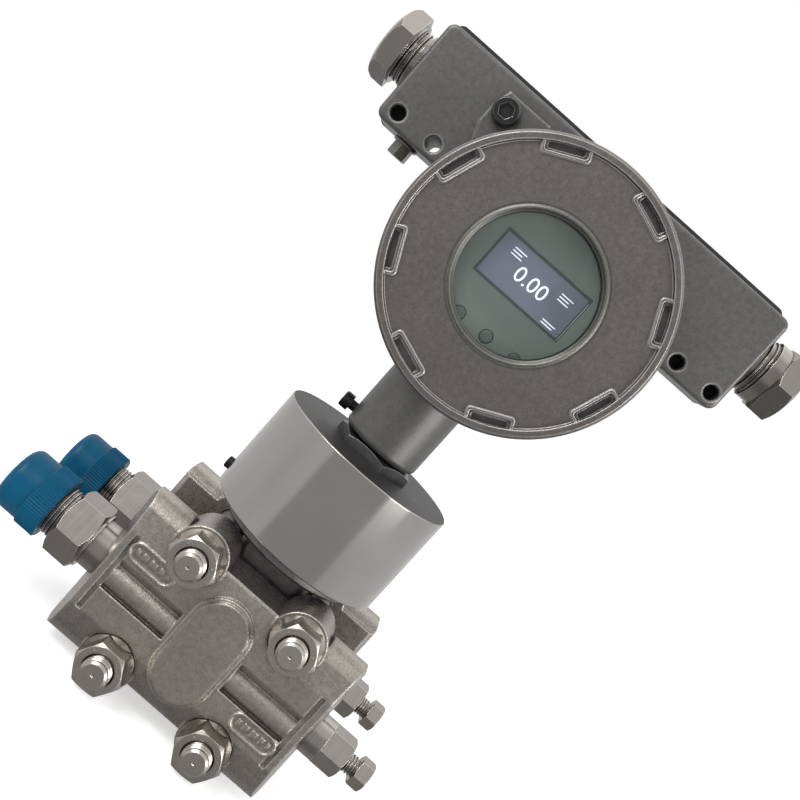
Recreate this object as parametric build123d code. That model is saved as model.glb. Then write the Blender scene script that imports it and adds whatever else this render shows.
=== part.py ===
from build123d import *
import math
import os

os.makedirs("parts", exist_ok=True)

# Differential pressure transmitter, mm, +Z up, display towards -Y.
# Origin: the hub's axis, at the level of the flanges' lowest bosses.

# Flange bolting
BOLT_DX = 46.0
BOLT_DZ = 51.0
BOLT_D = 11.1
BOLT_HOLE_CLEAR = 0.4
BOLT_END_Y = 55.7
BOLT_ROOT_D = 10.1
BOLT_ROOT_Y = 44.0
BOLT_BEVEL = 0.8
CENTRE_MARK = 0.6
NUT_AF = 17.5
NUT_FLANGE_D = 20.4
NUT_FLANGE_T = 2.4
NUT_FLANGE_CONE = 3.8
NUT_H = 11.0
NUT_SEAT = 39.4
NUT_SINK_D = 12.5
NUT_SINK_DEEP = 0.8
HEX_FACE = 0.985
BOSS_R = 11.0
SPOT_CLEAR = 0.3
PORT_Z = BOLT_DZ / 2 + BOSS_R

# Process flanges
FLANGE_FACE = 41.0
FLANGE_SHOULDER = 38.5
FLANGE_CREST = 29.5
FLANGE_HEEL = 20.7
FLANGE_IN = 17.0
FACE_HALF_X = 47.0
CREST_HALF_X = 50.2
IN_HALF_X = 48.2
FACE_HALF_Z = 17.0
SHOULDER_HALF_Z = 27.0
CREST_HALF_Z = 32.8
HEEL_HALF_Z = 28.6
OUTLINE_R = 4.0
OUTLINE_OVER = 0.6
DIP_HALF_X = 33.0
DIP_HALF_Z = 28.0
PANEL_HALF_X = 42.3
GROOVE_W = 2.0
GROOVE_DEEP = 1.1
PAD_L = 43.0
PAD_W = 22.0
PAD_UP = 2.0
PAD_STEP = 1.2
PAD_STEP_UP = 0.8
PAD_ROOT = 2.5
PAD_ROUND = 0.7
RECESS_IN_X = 13.6
RECESS_LOW = -6.0
RECESS_TOP = 7.0
RECESS_SLOPE_DEEP = 3.5
RECESS_SLOPE_Z = 3.0
RECESS_DEEP = 5.0
RIB_R = 6.0
RIB_Y = -34.5
RIB_Z = -1.5
TAG_L = 20.0
TAG_W = 8.0
TAG_LINE = 0.9
TAG_UP = 0.6
TAG_PLACES = ((-33.2, 12.7), (33.0, -10.0))

# Process ports, both flanges
PORT_Y = 27.5
PORT_BORE = 8.0
NIPPLE_BORE = 9.0
NIPPLE_COLLAR_D = 19.5
NIPPLE_SEAT_DEEP = 6.2
NIPPLE_SEAT_X = -CREST_HALF_X + NIPPLE_SEAT_DEEP
NIPPLE_STEP_OUT = 0.8
NIPPLE_STEP_X = -CREST_HALF_X - NIPPLE_STEP_OUT
NIPPLE_RING_D = 23.0
NIPPLE_RING_T = 0.8
NIPPLE_HEX_OUT = 18.3
NIPPLE_HEX_END = -CREST_HALF_X - NIPPLE_HEX_OUT
NIPPLE_HEX_L = 12.5
REAR_HEX_L = 15.0
NIPPLE_HEX_AF = 24.0
NIPPLE_THREAD_D = 20.0
NIPPLE_THREAD_L = 20.5
NIPPLE_ROOT = 0.8
NIPPLE_ROOT_L = 4.6
NIPPLE_BEVEL = 1.2
REAR_NIPPLE_SHIFT = 2.3
CAP_MOUTH_GAP = 4.5
CAP_MOUTH_X = NIPPLE_HEX_END - CAP_MOUTH_GAP
CAP_L = 20.0
CAP_BAND_D = 25.8
CAP_BAND_L = 9.0
CAP_BAND_BEVELS = (0.4, 0.3)
CAP_D = 24.8
CAP_ROUND = 3.5
CAP_CLEAR = 0.1
CAP_FLOOR = 2.0
REAR_CAP_SHIFT = 1.5

# Vent valves
VENT_COLLAR_D = 16.8
VENT_SEAT_DEEP = 6.2
VENT_SEAT_X = CREST_HALF_X - VENT_SEAT_DEEP
VENT_COLLAR_OUT = 5.4
VENT_COLLAR_X = CREST_HALF_X + VENT_COLLAR_OUT
VENT_HEX_AF = 14.8
VENT_HEX_L = 10.4
VENT_HEX_END = VENT_COLLAR_X + VENT_HEX_L
VENT_THREAD_D = 7.8
VENT_CLEAR = 0.08
VENT_BEVEL = 0.5
VENT_HEAD_OUT = 5.0
VENT_HEAD_X = VENT_HEX_END + VENT_HEAD_OUT
VENT_HEAD_L = 5.8
VENT_HEAD_AF = 10.6
VENT_SCREW_L = 12.0
VENT_SCREW_IN = VENT_HEX_END - VENT_SCREW_L
VENT_ROOT = 0.6
VENT_ROOT_L = 5.0
VENT_ROOT_X = VENT_HEX_END - VENT_ROOT_L
NEEDLE_D = 4.0
NEEDLE_CLEAR = 0.06
NEEDLE_SHANK = 6.0
NEEDLE_TIP = 4.0
NEEDLE_HEAD_D = 6.2
NEEDLE_GAP = 0.3
NEEDLE_HEAD_GAP = NEEDLE_TIP + 2 * NEEDLE_GAP
NEEDLE_TIP_R = 0.8
REAR_VENT_SHIFT = -0.7

# Sensor capsule
CELL_R = 27.4
CELL_HALF_Y = 16.8
SEAL_OUT_R = 25.0
SEAL_IN_R = 22.0
SEAL_T = 1.8
SEAL_SEAT = 1.6
STALK_HALF_X = 16.4
STALK_HALF_Y = 15.0
STALK_CORNER = 5.0
STALK_TOP = 74.0
STALK_FLANGE_R = 30.0
STALK_BEVEL = 1.0

# Hub
HUB_R = 38.0
HUB_Z0 = 79.3
HUB_Z1 = 122.5
HUB_BEVEL = 0.4
STEM_R = 10.0
STEM_TOP = 150.0
STEM_BEVEL = 1.0
STEM_BORE_DEEP = 20.0
HUB_SCREW_D = 5.0
HUB_SCREW_Z = 84.5
HUB_SCREW_OUT = 2.0
HUB_SCREW_L = 8.0
HUB_SCREW_BEVEL = 0.4
MARK_L = 5.0
MARK_W = 0.9
MARK_X = 23.0
MARK_Y = -7.4
MARK_TURN = -18.0
MARK_DEEP = 0.5
LOCK_NUT_AF = 30.0
LOCK_NUT_T = 4.3
LOCK_NUT_TURN = -12.0

# Display head: everything round follows the cover, every height the head's axis
HEAD_Z = 208.3
COVER_R = 52.6
COVER_WALL = 3.2
COVER_RIM_IN_R = COVER_R - COVER_WALL
DRUM_STEP = 3.6
DRUM_R = COVER_R - DRUM_STEP
DRUM_WALL = 5.0
DRUM_IN_R = DRUM_R - DRUM_WALL

# Housing casting: neck, drum and terminal box
NECK_R = 16.5
NECK_Z0 = 127.3
NECK_ROUND = 2.2
STEM_CLEAR = 0.08
STEM_END_GAP = 0.5
WIRE_R = 7.0
WIRE_DROP = 6.0
DRUM_Y0 = -29.2
DRUM_Y1 = 18.0
DRUM_FLOOR = 13.0
DRUM_ROUND = 5.0
BOX_HALF_X = 83.3
BOX_UP = 11.4
BOX_Z0 = HEAD_Z + BOX_UP
BOX_H = 43.7
BOX_Z1 = BOX_Z0 + BOX_H
BOX_Y0 = -2.0
BOX_Y1 = 24.0
BOX_CORNER = 3.5
BOX_EDGE = 1.6
CAVITY_WALL_X = 7.3
CAVITY_HALF_X = BOX_HALF_X - CAVITY_WALL_X
CAVITY_WALL_LOW = 11.8
CAVITY_WALL_TOP = 6.9
CAVITY_Z0 = BOX_Z0 + CAVITY_WALL_LOW
CAVITY_Z1 = BOX_Z1 - CAVITY_WALL_TOP
CAVITY_Y = 4.0
PARTITION_T = 3.0
DIVIDE_DROP = 13.0
BOX_HOLE_D = 5.9
BOX_HOLE_RIM_D = 7.0
BOX_HOLE_RIM_DEEP = 0.6
BOX_HOLE_UP = 5.6
BOX_HOLE_Z = BOX_Z0 + BOX_HOLE_UP
BOX_HOLES_LEFT = (6.7, 24.0)
BOX_HOLES_RIGHT = (21.9, 4.9)
BOX_HOLE_XS = [-BOX_HALF_X + inset for inset in BOX_HOLES_LEFT]
BOX_HOLE_XS += [BOX_HALF_X - inset for inset in BOX_HOLES_RIGHT]
TOP_HOLE_INSET = 5.3
TOP_HOLE_MID = 26.0
TOP_HOLE_END = BOX_HALF_X - TOP_HOLE_INSET
TOP_HOLE_XS = (-TOP_HOLE_END, -TOP_HOLE_MID, TOP_HOLE_MID, TOP_HOLE_END)
TOP_HOLE_DROP = 3.4
TOP_HOLE_Z = BOX_Z1 - TOP_HOLE_DROP
TOP_HOLE_D = 4.0
TOP_HOLE_DEEP = 12.0
EAR_POINTS = ((-49.5, 27.7), (-52.3, 34.0), (-52.2, 43.5), (-50.2, 48.9), (-31.0, 48.9), (-27.0, 27.7))
EAR_Y = -8.0
EAR_ROUND = 0.9
EAR_SCREW_X = -46.4
EAR_SCREW_UP = 42.0
EAR_SCREW_Z = HEAD_Z + EAR_SCREW_UP
EAR_SCREW_D = 6.0
EAR_SCREW_DEEP = 4.0
EAR_HEAD_D = 10.5
EAR_HEAD_L = 5.0
EAR_HEAD_BEVEL = 0.6
EAR_SOCKET_AF = 5.4
NECK_SCREW_Z = 132.7
NECK_SCREW_D = 4.0
NECK_SCREW_GAP = 0.5
NECK_SCREW_BEVEL = 0.4
NECK_HEAD_X = -18.9
NECK_HEAD_D = 6.6
NECK_HEAD_L = 3.9
NECK_HEAD_BEVEL = 0.5
NECK_SOCKET_AF = 3.0

# Rear cover
GASKET_T = 1.2
GASKET_OUT = 0.6
REAR_OVER = 0.7
REAR_HALF_X = BOX_HALF_X + REAR_OVER
REAR_Z0 = BOX_Z0 + REAR_OVER
REAR_TOP_OVER = 4.9
REAR_Z1 = BOX_Z1 + REAR_TOP_OVER
REAR_T = 8.0
REAR_EDGE = 1.5
REAR_HOLLOW = 5.0
REAR_SCREW_D = 4.0
REAR_SCREW_HEAD_D = 7.0
REAR_SCREW_HEAD_L = 4.0
REAR_SCREW_BEVEL = 0.5
REAR_SCREW_LOW_L = 14.0
REAR_SCREW_END_GAP = 2.0
REAR_SOCKET_AF = 3.0

# Display cover
COVER_RIM_Y = -37.0
COVER_FACE_Y = -35.4
COVER_PLATE_T = 5.0
COVER_BACK_Y = -12.5
COVER_EDGE = 1.0
COVER_GAP = 0.5
RIM_FOOT = 0.4
THREAD_CLEAR = 0.1
WINDOW_R = 25.5
WINDOW_BEVEL_R = 27.2
WINDOW_BEVEL_DEEP = 0.6
WINDOW_LIP_W = 0.5
WINDOW_LIP_UP = 0.4
POCKET_COUNT = 8
POCKET_FIRST = 26.0
POCKET_L = 8.0
POCKET_IN_R = COVER_R - POCKET_L
POCKET_HALF_W = 8.6
POCKET_LIP = 1.0
POCKET_GAP = 1.0
POCKET_TIER = 0.8
POCKET_LIP_UP = 0.9
POCKET_DEEP = 2.6
POCKET_CORNER = 1.4
POCKET_CORNER_DROP = 0.3
GLASS_R = 28.6
GLASS_T = 4.0
GLASS_BEVEL = 0.3
GLASS_SEAT_Y = -32.6
GLASS_CLEAR = 0.1
COLLAR_R = 32.0
COLLAR_Y = -26.4
RETAINER_T = 2.0
RING_GROOVE_Y0 = -17.4
RING_GROOVE_L = 2.5
RING_GROOVE_DEEP = 1.8
RING_SIDE_CLEAR = 0.1
RING_FIT = 0.05
RING_BEVEL = 0.5

# Display and electronics
FACEPLATE_CLEAR = 0.3
FACEPLATE_R = DRUM_IN_R - FACEPLATE_CLEAR
FACEPLATE_Y = -25.0
FACEPLATE_T = 1.6
SCREEN_L = 39.4
SCREEN_H = 19.5
SCREEN_X = 1.4
SCREEN_UP = 2.0
SCREEN_Z = HEAD_Z + SCREEN_UP
SCREEN_CLEAR = 0.1
SCREEN_FRAME = 3.0
SCREEN_SINK = 0.5
MODULE_T = 7.0
BUTTON_XS = (-11.6, 1.3, 14.2)
BUTTON_NAMES = ("left", "centre", "right")
BUTTON_DROP = 22.3
BUTTON_Z = HEAD_Z - BUTTON_DROP
BUTTON_R = 2.4
BUTTON_GAP = 0.3
BUTTON_UP = 0.3
BUTTON_BEVEL = 0.3
BUTTON_FLANGE_R = 3.4
BUTTON_FLANGE_T = 0.8
BUTTON_TRAVEL = 0.8
SWITCH_GAP = 0.4
SWITCH_W = 6.0
BOARD_T = 1.6
BOARD_CLEAR = 0.4
BOARD_R = DRUM_IN_R - BOARD_CLEAR
BLOCK_L = 70.0
BLOCK_H = 14.0
BLOCK_T = 9.0
BLOCK_POLES = 6
BLOCK_SCREW_D = 5.0
BLOCK_SCREW_L = 3.0
BLOCK_RIB = 1.5
BLOCK_SLOT = 1.0

# Conduit entries
ENTRY_Y = 10.5
ENTRY_UP = 36.5
ENTRY_Z = HEAD_Z + ENTRY_UP
ENTRY_THREAD_D = 20.0
PLUG_COLLAR_D = 23.6
PLUG_COLLAR_L = 1.8
PLUG_NECK_D = 20.8
PLUG_RING_D = 25.5
PLUG_RING_T = 0.9
PLUG_OUT = 6.7
PLUG_HEX_X = -BOX_HALF_X - PLUG_OUT
PLUG_HEX_L = 8.6
PLUG_HEX_END = PLUG_HEX_X - PLUG_HEX_L
PLUG_HEX_AF = 27.0
PLUG_HEX_TURN = -17.4
PLUG_DOME = ((3.0, 0.0), (1.2, 1.4), (0.0, 4.0))
PLUG_IN_L = 7.0
GLAND_NECK_D = 22.2
GLAND_NECK_OUT = 4.9
GLAND_NECK_END = BOX_HALF_X + GLAND_NECK_OUT
GLAND_COLLAR_D = 25.6
GLAND_NUT_OUT = 9.7
GLAND_NUT_X = BOX_HALF_X + GLAND_NUT_OUT
GLAND_NUT_L = 9.0
GLAND_NUT_END = GLAND_NUT_X + GLAND_NUT_L
GLAND_NUT_TURN = 5.1
GLAND_BORE_R = 6.2
GLAND_SEAL_R = 8.6
GLAND_SEAL_L = 6.5
GLAND_SEAL_IN = 2.0
GLAND_HOLE_R = 5.0
GLAND_NUT_FIT_R = 9.6
GLAND_NUT_FIT_L = 5.0

# Ground screw
GROUND_INSET = 14.9
GROUND_X = -BOX_HALF_X + GROUND_INSET
GROUND_Y = 11.5
GROUND_HEAD_AF = 7.4
GROUND_HEAD_L = 5.2
GROUND_HEAD_TURN = 20.0
GROUND_WASHER_D = 10.5
GROUND_WASHER_T = 1.4
GROUND_WASHER_BEVEL = 0.3
GROUND_THREAD_D = 4.0
GROUND_THREAD_L = 7.0

COS30 = math.cos(math.radians(30))


def prism(axis, sketch, start, end):
    """Extrude a sketch, drawn in the other two axes, between two stations."""
    if axis == "X":
        plane = Plane.YZ.offset(start)
    elif axis == "Y":
        plane = Plane.XZ.offset(-end)
    else:
        plane = Plane.XY.offset(start)
    return extrude(plane * sketch, amount=end - start, dir=plane.z_dir)


def rod(axis, radius, start, end, at=(0, 0)):
    """A cylinder along an axis at the two other coordinates."""
    return prism(axis, Pos(at[0], at[1]) * Circle(radius), start, end)


def block(x_range, y_range, z_range):
    """A box between two corners."""
    size_x = x_range[1] - x_range[0]
    size_y = y_range[1] - y_range[0]
    sketch = Pos(sum(x_range) / 2, sum(y_range) / 2) * Rectangle(size_x, size_y)
    return prism("Z", sketch, z_range[0], z_range[1])


def turned(axis, points, at=(0, 0)):
    """Revolve (station, radius) points about a line along an axis."""
    if axis == "X":
        face = Plane.XZ * Polygon(*points, align=None)
        return Pos(0, at[0], at[1]) * revolve(face, Axis.X)
    if axis == "Y":
        face = Plane.YZ * Polygon(*points, align=None)
        return Pos(at[0], 0, at[1]) * revolve(face, Axis.Y)
    swapped = [(radius, station) for station, radius in points]
    face = Plane.XZ * Polygon(*swapped, align=None)
    return Pos(at[0], at[1], 0) * revolve(face, Axis.Z)


def bevelled_rod(axis, radius, start, end, bevels, at=(0, 0)):
    """A cylinder with a bevel of its own at each end."""
    points = [
        (start, 0),
        (start, radius - bevels[0]),
        (start + bevels[0], radius),
        (end - bevels[1], radius),
        (end, radius - bevels[1]),
        (end, 0),
    ]
    return turned(axis, points, at)


def hexagon(axis, across, start, end, at=(0, 0), turn=0.0, bevels=(1, 1)):
    """A hexagonal prism with its corners bevelled at the chosen ends."""
    corner = across / 2 / COS30
    inner = across / 2 * HEX_FACE
    drop = (corner - inner) * math.tan(math.radians(30))
    points = [
        (start, 0),
        (start, inner if bevels[0] else corner),
        (start + drop * bevels[0], corner),
        (end - drop * bevels[1], corner),
        (end, inner if bevels[1] else corner),
        (end, 0),
    ]
    points = [point for index, point in enumerate(points) if point not in points[:index]]
    outline = Pos(at[0], at[1]) * Rot(0, 0, turn) * RegularPolygon(across / 2, 6, major_radius=False)
    return prism(axis, outline, start, end) & turned(axis, points, at)


def socket(axis, across, start, end, at):
    """The cutter for a hexagon socket."""
    outline = Pos(at[0], at[1]) * RegularPolygon(across / 2, 6, major_radius=False)
    return prism(axis, outline, start, end)


def mirrored(shape):
    """The rear twin of a front piece."""
    return mirror(shape, about=Plane.XZ)


def save(node, shape):
    """Write one node's STEP file."""
    shape.label = node
    export_step(shape, f"parts/{node}.step")


bolt_levels = (PORT_Z - BOLT_DZ / 2, PORT_Z + BOLT_DZ / 2)
bolt_points = [(x, z) for x in (-BOLT_DX / 2, BOLT_DX / 2) for z in bolt_levels]


def flange_blank():
    """The drafted block with half-round bars: side, plan and front outlines intersected."""
    reach = CREST_HALF_Z + OUTLINE_OVER
    edges = [
        Line((-FLANGE_IN, PORT_Z + HEEL_HALF_Z), (-FLANGE_IN, PORT_Z - HEEL_HALF_Z)),
        Line((-FLANGE_FACE, PORT_Z - FACE_HALF_Z), (-FLANGE_FACE, PORT_Z + FACE_HALF_Z)),
    ]
    for sign in (-1, 1):
        face_end = (-FLANGE_FACE, PORT_Z + sign * FACE_HALF_Z)
        shoulder = (-FLANGE_SHOULDER, PORT_Z + sign * SHOULDER_HALF_Z)
        crest = (-FLANGE_CREST, PORT_Z + sign * CREST_HALF_Z)
        heel = (-FLANGE_HEEL, PORT_Z + sign * HEEL_HALF_Z)
        edges.append(Line(face_end, shoulder))
        edges.append(ThreePointArc(shoulder, crest, heel))
        edges.append(Line(heel, (-FLANGE_IN, PORT_Z + sign * HEEL_HALF_Z)))
    side = make_face(edges)
    plan = Polygon(
        (-FACE_HALF_X, -FLANGE_FACE),
        (FACE_HALF_X, -FLANGE_FACE),
        (CREST_HALF_X, -FLANGE_CREST),
        (CREST_HALF_X, -FLANGE_HEEL),
        (IN_HALF_X, -FLANGE_IN),
        (-IN_HALF_X, -FLANGE_IN),
        (-CREST_HALF_X, -FLANGE_HEEL),
        (-CREST_HALF_X, -FLANGE_CREST),
        align=None,
    )
    front = Pos(0, PORT_Z) * RectangleRounded(2 * CREST_HALF_X, 2 * reach, OUTLINE_R)
    blank = prism("X", side, -CREST_HALF_X, CREST_HALF_X)
    blank = blank & prism("Z", plan, PORT_Z - reach, PORT_Z + reach)
    return blank & prism("Y", front, -FLANGE_FACE, -FLANGE_IN)


def panel_recess(x_range):
    """The cutter of one recess: a sloped upper wall over a round rib."""
    outline = Polygon(
        (-FLANGE_FACE, PORT_Z + RECESS_LOW),
        (-FLANGE_FACE, PORT_Z + RECESS_TOP),
        (-FLANGE_FACE + RECESS_SLOPE_DEEP, PORT_Z + RECESS_SLOPE_Z),
        (-FLANGE_FACE + RECESS_DEEP, PORT_Z + RECESS_SLOPE_Z),
        (-FLANGE_FACE + RECESS_DEEP, PORT_Z + RECESS_LOW),
        align=None,
    )
    rib = rod("X", RIB_R, x_range[0], x_range[1], (RIB_Y, PORT_Z + RIB_Z))
    return prism("X", outline, x_range[0], x_range[1]) - rib


def process_flange():
    """One cast process flange, front side."""
    body = flange_blank()
    for sign in (-1, 1):
        edges = sorted((PORT_Z + sign * DIP_HALF_Z, PORT_Z + sign * (CREST_HALF_Z + 1)))
        body -= block((-DIP_HALF_X, DIP_HALF_X), (-FLANGE_FACE, -FLANGE_IN), edges)
    for point in bolt_points:
        body += rod("Y", BOSS_R, -NUT_SEAT, -FLANGE_IN, point)
    for sign in (-1, 1):
        body -= panel_recess(sorted((sign * RECESS_IN_X, sign * PANEL_HALF_X)))
        groove_x = sorted((sign * PANEL_HALF_X, sign * (PANEL_HALF_X + GROOVE_W)))
        groove_z = (PORT_Z - FACE_HALF_Z, PORT_Z + FACE_HALF_Z)
        body -= block(groove_x, (-FLANGE_FACE, -FLANGE_FACE + GROOVE_DEEP), groove_z)
    for tag_x, tag_z in TAG_PLACES:
        tag = SlotOverall(TAG_L, TAG_W) - SlotOverall(TAG_L - 2 * TAG_LINE, TAG_W - 2 * TAG_LINE)
        body += prism("Y", Pos(tag_x, PORT_Z + tag_z) * tag, -FLANGE_FACE - TAG_UP, -FLANGE_FACE)
    step = Pos(0, PORT_Z) * Rot(0, 0, 90) * SlotOverall(PAD_L + 2 * PAD_STEP, PAD_W + 2 * PAD_STEP)
    body += prism("Y", step, -FLANGE_FACE - PAD_STEP_UP, -FLANGE_FACE + PAD_ROOT)
    pad = Pos(0, PORT_Z) * Rot(0, 0, 90) * SlotOverall(PAD_L, PAD_W)
    pad = prism("Y", pad, -FLANGE_FACE - PAD_UP, -FLANGE_FACE)
    pad = fillet(pad.faces().sort_by(Axis.Y)[0].edges(), PAD_ROUND)
    body += pad
    for point in bolt_points:
        body -= rod("Y", NUT_FLANGE_D / 2 + SPOT_CLEAR, -FLANGE_FACE - PAD_UP, -NUT_SEAT, point)
        body -= rod("Y", BOLT_D / 2 + BOLT_HOLE_CLEAR, -FLANGE_FACE, -FLANGE_IN, point)
    port = (-PORT_Y, PORT_Z)
    body -= rod("X", NIPPLE_COLLAR_D / 2, -CREST_HALF_X, NIPPLE_SEAT_X, port)
    body -= rod("X", VENT_COLLAR_D / 2, VENT_SEAT_X, CREST_HALF_X, port)
    body -= rod("X", PORT_BORE / 2, NIPPLE_SEAT_X, VENT_SEAT_X, port)
    return body - rod("Y", PORT_BORE / 2, -PORT_Y, -FLANGE_IN, (0, PORT_Z))


def flange_stud(point):
    """A stud through both flanges, its thread roots bare at the ends."""
    stud = rod("Y", BOLT_D / 2, -BOLT_ROOT_Y, BOLT_ROOT_Y, point)
    stud += bevelled_rod("Y", BOLT_ROOT_D / 2, -BOLT_END_Y, -BOLT_ROOT_Y, (BOLT_BEVEL, 0), point)
    stud += bevelled_rod("Y", BOLT_ROOT_D / 2, BOLT_ROOT_Y, BOLT_END_Y, (0, BOLT_BEVEL), point)
    for sign in (-1, 1):
        end = sign * BOLT_END_Y
        stud -= turned("Y", [(end, 0), (end, CENTRE_MARK), (end - sign * CENTRE_MARK, 0)], point)
    return stud


def flange_nut(point):
    """A flanged hexagon nut with a countersunk thread mouth."""
    outer = -NUT_SEAT - NUT_H
    washer = turned(
        "Y",
        [
            (-NUT_SEAT, 0),
            (-NUT_SEAT, NUT_FLANGE_D / 2),
            (-NUT_SEAT - NUT_FLANGE_T / 2, NUT_FLANGE_D / 2),
            (-NUT_SEAT - NUT_FLANGE_CONE, NUT_AF / 2),
            (-NUT_SEAT - NUT_FLANGE_CONE, 0),
        ],
        point,
    )
    head = hexagon("Y", NUT_AF, outer, -NUT_SEAT - NUT_FLANGE_T / 2, point, bevels=(1, 0))
    hole = rod("Y", BOLT_D / 2, outer, -NUT_SEAT, point)
    sink = turned(
        "Y",
        [
            (outer, 0),
            (outer, NUT_SINK_D / 2),
            (outer + NUT_SINK_DEEP, BOLT_D / 2),
            (outer + NUT_SINK_DEEP, 0),
        ],
        point,
    )
    return washer + head - hole - sink


def process_nipple(shift, hex_length):
    """The screwed-in port adapter: collar, ring, hexagon, relief, thread and a stepped bore."""
    at = (-PORT_Y, PORT_Z)
    hex_end = NIPPLE_HEX_END + shift
    hex_x = hex_end + hex_length
    end = hex_end - NIPPLE_THREAD_L
    root_end = hex_end - NIPPLE_ROOT_L
    outer = turned(
        "X",
        [
            (NIPPLE_SEAT_X, 0),
            (NIPPLE_SEAT_X, NIPPLE_COLLAR_D / 2),
            (hex_x + NIPPLE_RING_T, NIPPLE_COLLAR_D / 2),
            (hex_x + NIPPLE_RING_T, NIPPLE_RING_D / 2),
            (hex_x, NIPPLE_RING_D / 2),
            (hex_x, NIPPLE_THREAD_D / 2 - NIPPLE_ROOT),
            (root_end, NIPPLE_THREAD_D / 2 - NIPPLE_ROOT),
            (root_end, NIPPLE_THREAD_D / 2),
            (end + NIPPLE_BEVEL, NIPPLE_THREAD_D / 2),
            (end, NIPPLE_THREAD_D / 2 - NIPPLE_BEVEL),
            (end, 0),
        ],
        at,
    )
    body = outer + hexagon("X", NIPPLE_HEX_AF, hex_end, hex_x, at)
    body -= rod("X", PORT_BORE / 2, NIPPLE_STEP_X, NIPPLE_SEAT_X, at)
    return body - rod("X", NIPPLE_BORE / 2, end, NIPPLE_STEP_X, at)


def protective_cap(shift):
    """The pull-off cap: gripping band at the mouth, smooth rounded crown."""
    at = (-PORT_Y, PORT_Z)
    mouth = CAP_MOUTH_X + shift
    band_end = mouth - CAP_BAND_L
    crown = mouth - CAP_L
    shell = rod("X", CAP_D / 2, crown, mouth, at)
    shell = fillet(shell.faces().sort_by(Axis.X)[0].edges(), CAP_ROUND)
    shell += bevelled_rod("X", CAP_BAND_D / 2, band_end, mouth, CAP_BAND_BEVELS, at)
    bore_r = NIPPLE_THREAD_D / 2 + CAP_CLEAR
    return shell - rod("X", bore_r, crown + CAP_FLOOR, mouth, at)


def vent_body(shift):
    """The vent valve's body: round collar, hexagon and threaded bore."""
    at = (-PORT_Y, PORT_Z)
    collar_end = VENT_COLLAR_X + shift
    hex_end = VENT_HEX_END + shift
    body = rod("X", VENT_COLLAR_D / 2, VENT_SEAT_X, collar_end, at)
    body += hexagon("X", VENT_HEX_AF, collar_end, hex_end, at, bevels=(0, 1))
    bore_r = VENT_THREAD_D / 2 + VENT_CLEAR
    bore_start = VENT_SCREW_IN + shift - NEEDLE_HEAD_GAP
    body -= rod("X", bore_r, bore_start, hex_end, at)
    return body - rod("X", PORT_BORE / 4, VENT_SEAT_X, bore_start, at)


def vent_screw(shift):
    """The vent screw: thread in the body, hexagon head outside."""
    at = (-PORT_Y, PORT_Z)
    start = VENT_SCREW_IN + shift
    head = VENT_HEAD_X + shift
    root_start = VENT_ROOT_X + shift
    body = bevelled_rod("X", VENT_THREAD_D / 2, start, root_start, (VENT_BEVEL, 0), at)
    body += rod("X", VENT_THREAD_D / 2 - VENT_ROOT, root_start, head, at)
    body += hexagon("X", VENT_HEAD_AF, head, head + VENT_HEAD_L, at)
    swivel_end = start + NEEDLE_SHANK + NEEDLE_GAP
    return body - rod("X", NEEDLE_D / 2 + NEEDLE_CLEAR, start, swivel_end, at)


def vent_needle(shift):
    """The needle that swivels in the screw's end and closes the vent."""
    at = (-PORT_Y, PORT_Z)
    start = VENT_SCREW_IN + shift
    collar = start - NEEDLE_GAP
    return turned(
        "X",
        [
            (collar - NEEDLE_TIP, 0),
            (collar - NEEDLE_TIP, NEEDLE_TIP_R),
            (collar - NEEDLE_TIP / 2, NEEDLE_HEAD_D / 2),
            (collar, NEEDLE_HEAD_D / 2),
            (collar, NEEDLE_D / 2),
            (start + NEEDLE_SHANK, NEEDLE_D / 2),
            (start + NEEDLE_SHANK, 0),
        ],
        at,
    )


def sensor_capsule():
    """The measuring cell between the flanges, its stalk and top flange."""
    body = rod("Y", CELL_R, -CELL_HALF_Y, CELL_HALF_Y, (0, PORT_Z))
    for sign in (-1, 1):
        y_range = sorted((sign * CELL_HALF_Y, sign * (CELL_HALF_Y - SEAL_SEAT)))
        seat = rod("Y", SEAL_OUT_R, y_range[0], y_range[1], (0, PORT_Z))
        body -= seat - rod("Y", SEAL_IN_R, y_range[0], y_range[1], (0, PORT_Z))
    stalk = Rectangle(2 * STALK_HALF_X, 2 * STALK_HALF_Y)
    stalk = fillet(stalk.vertices(), STALK_CORNER)
    body += prism("Z", stalk, PORT_Z, STALK_TOP)
    return body + bevelled_rod("Z", STALK_FLANGE_R, STALK_TOP, HUB_Z0, (STALK_BEVEL, 0))


def flange_seal(sign):
    """The ring that seals the cell's face against a flange."""
    y_range = sorted((sign * (CELL_HALF_Y - SEAL_SEAT), sign * (CELL_HALF_Y - SEAL_SEAT + SEAL_T)))
    ring = rod("Y", SEAL_OUT_R, y_range[0], y_range[1], (0, PORT_Z))
    return ring - rod("Y", SEAL_IN_R, y_range[0], y_range[1], (0, PORT_Z))


def sensor_hub():
    """The plain turned hub with its stem, screw hole and index mark."""
    body = bevelled_rod("Z", HUB_R, HUB_Z0, HUB_Z1, (HUB_BEVEL, HUB_BEVEL))
    body += bevelled_rod("Z", STEM_R, HUB_Z1, STEM_TOP, (0, STEM_BEVEL))
    body -= rod("X", HUB_SCREW_D / 2, -HUB_R, -HUB_R + HUB_SCREW_L, (0, HUB_SCREW_Z))
    mark = Pos(MARK_X, MARK_Y) * Rot(0, 0, MARK_TURN) * SlotOverall(MARK_L, MARK_W)
    body -= prism("Z", mark, HUB_Z1 - MARK_DEEP, HUB_Z1)
    return body - rod("Z", WIRE_R, HUB_Z1 - STEM_BORE_DEEP, STEM_TOP)


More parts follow.
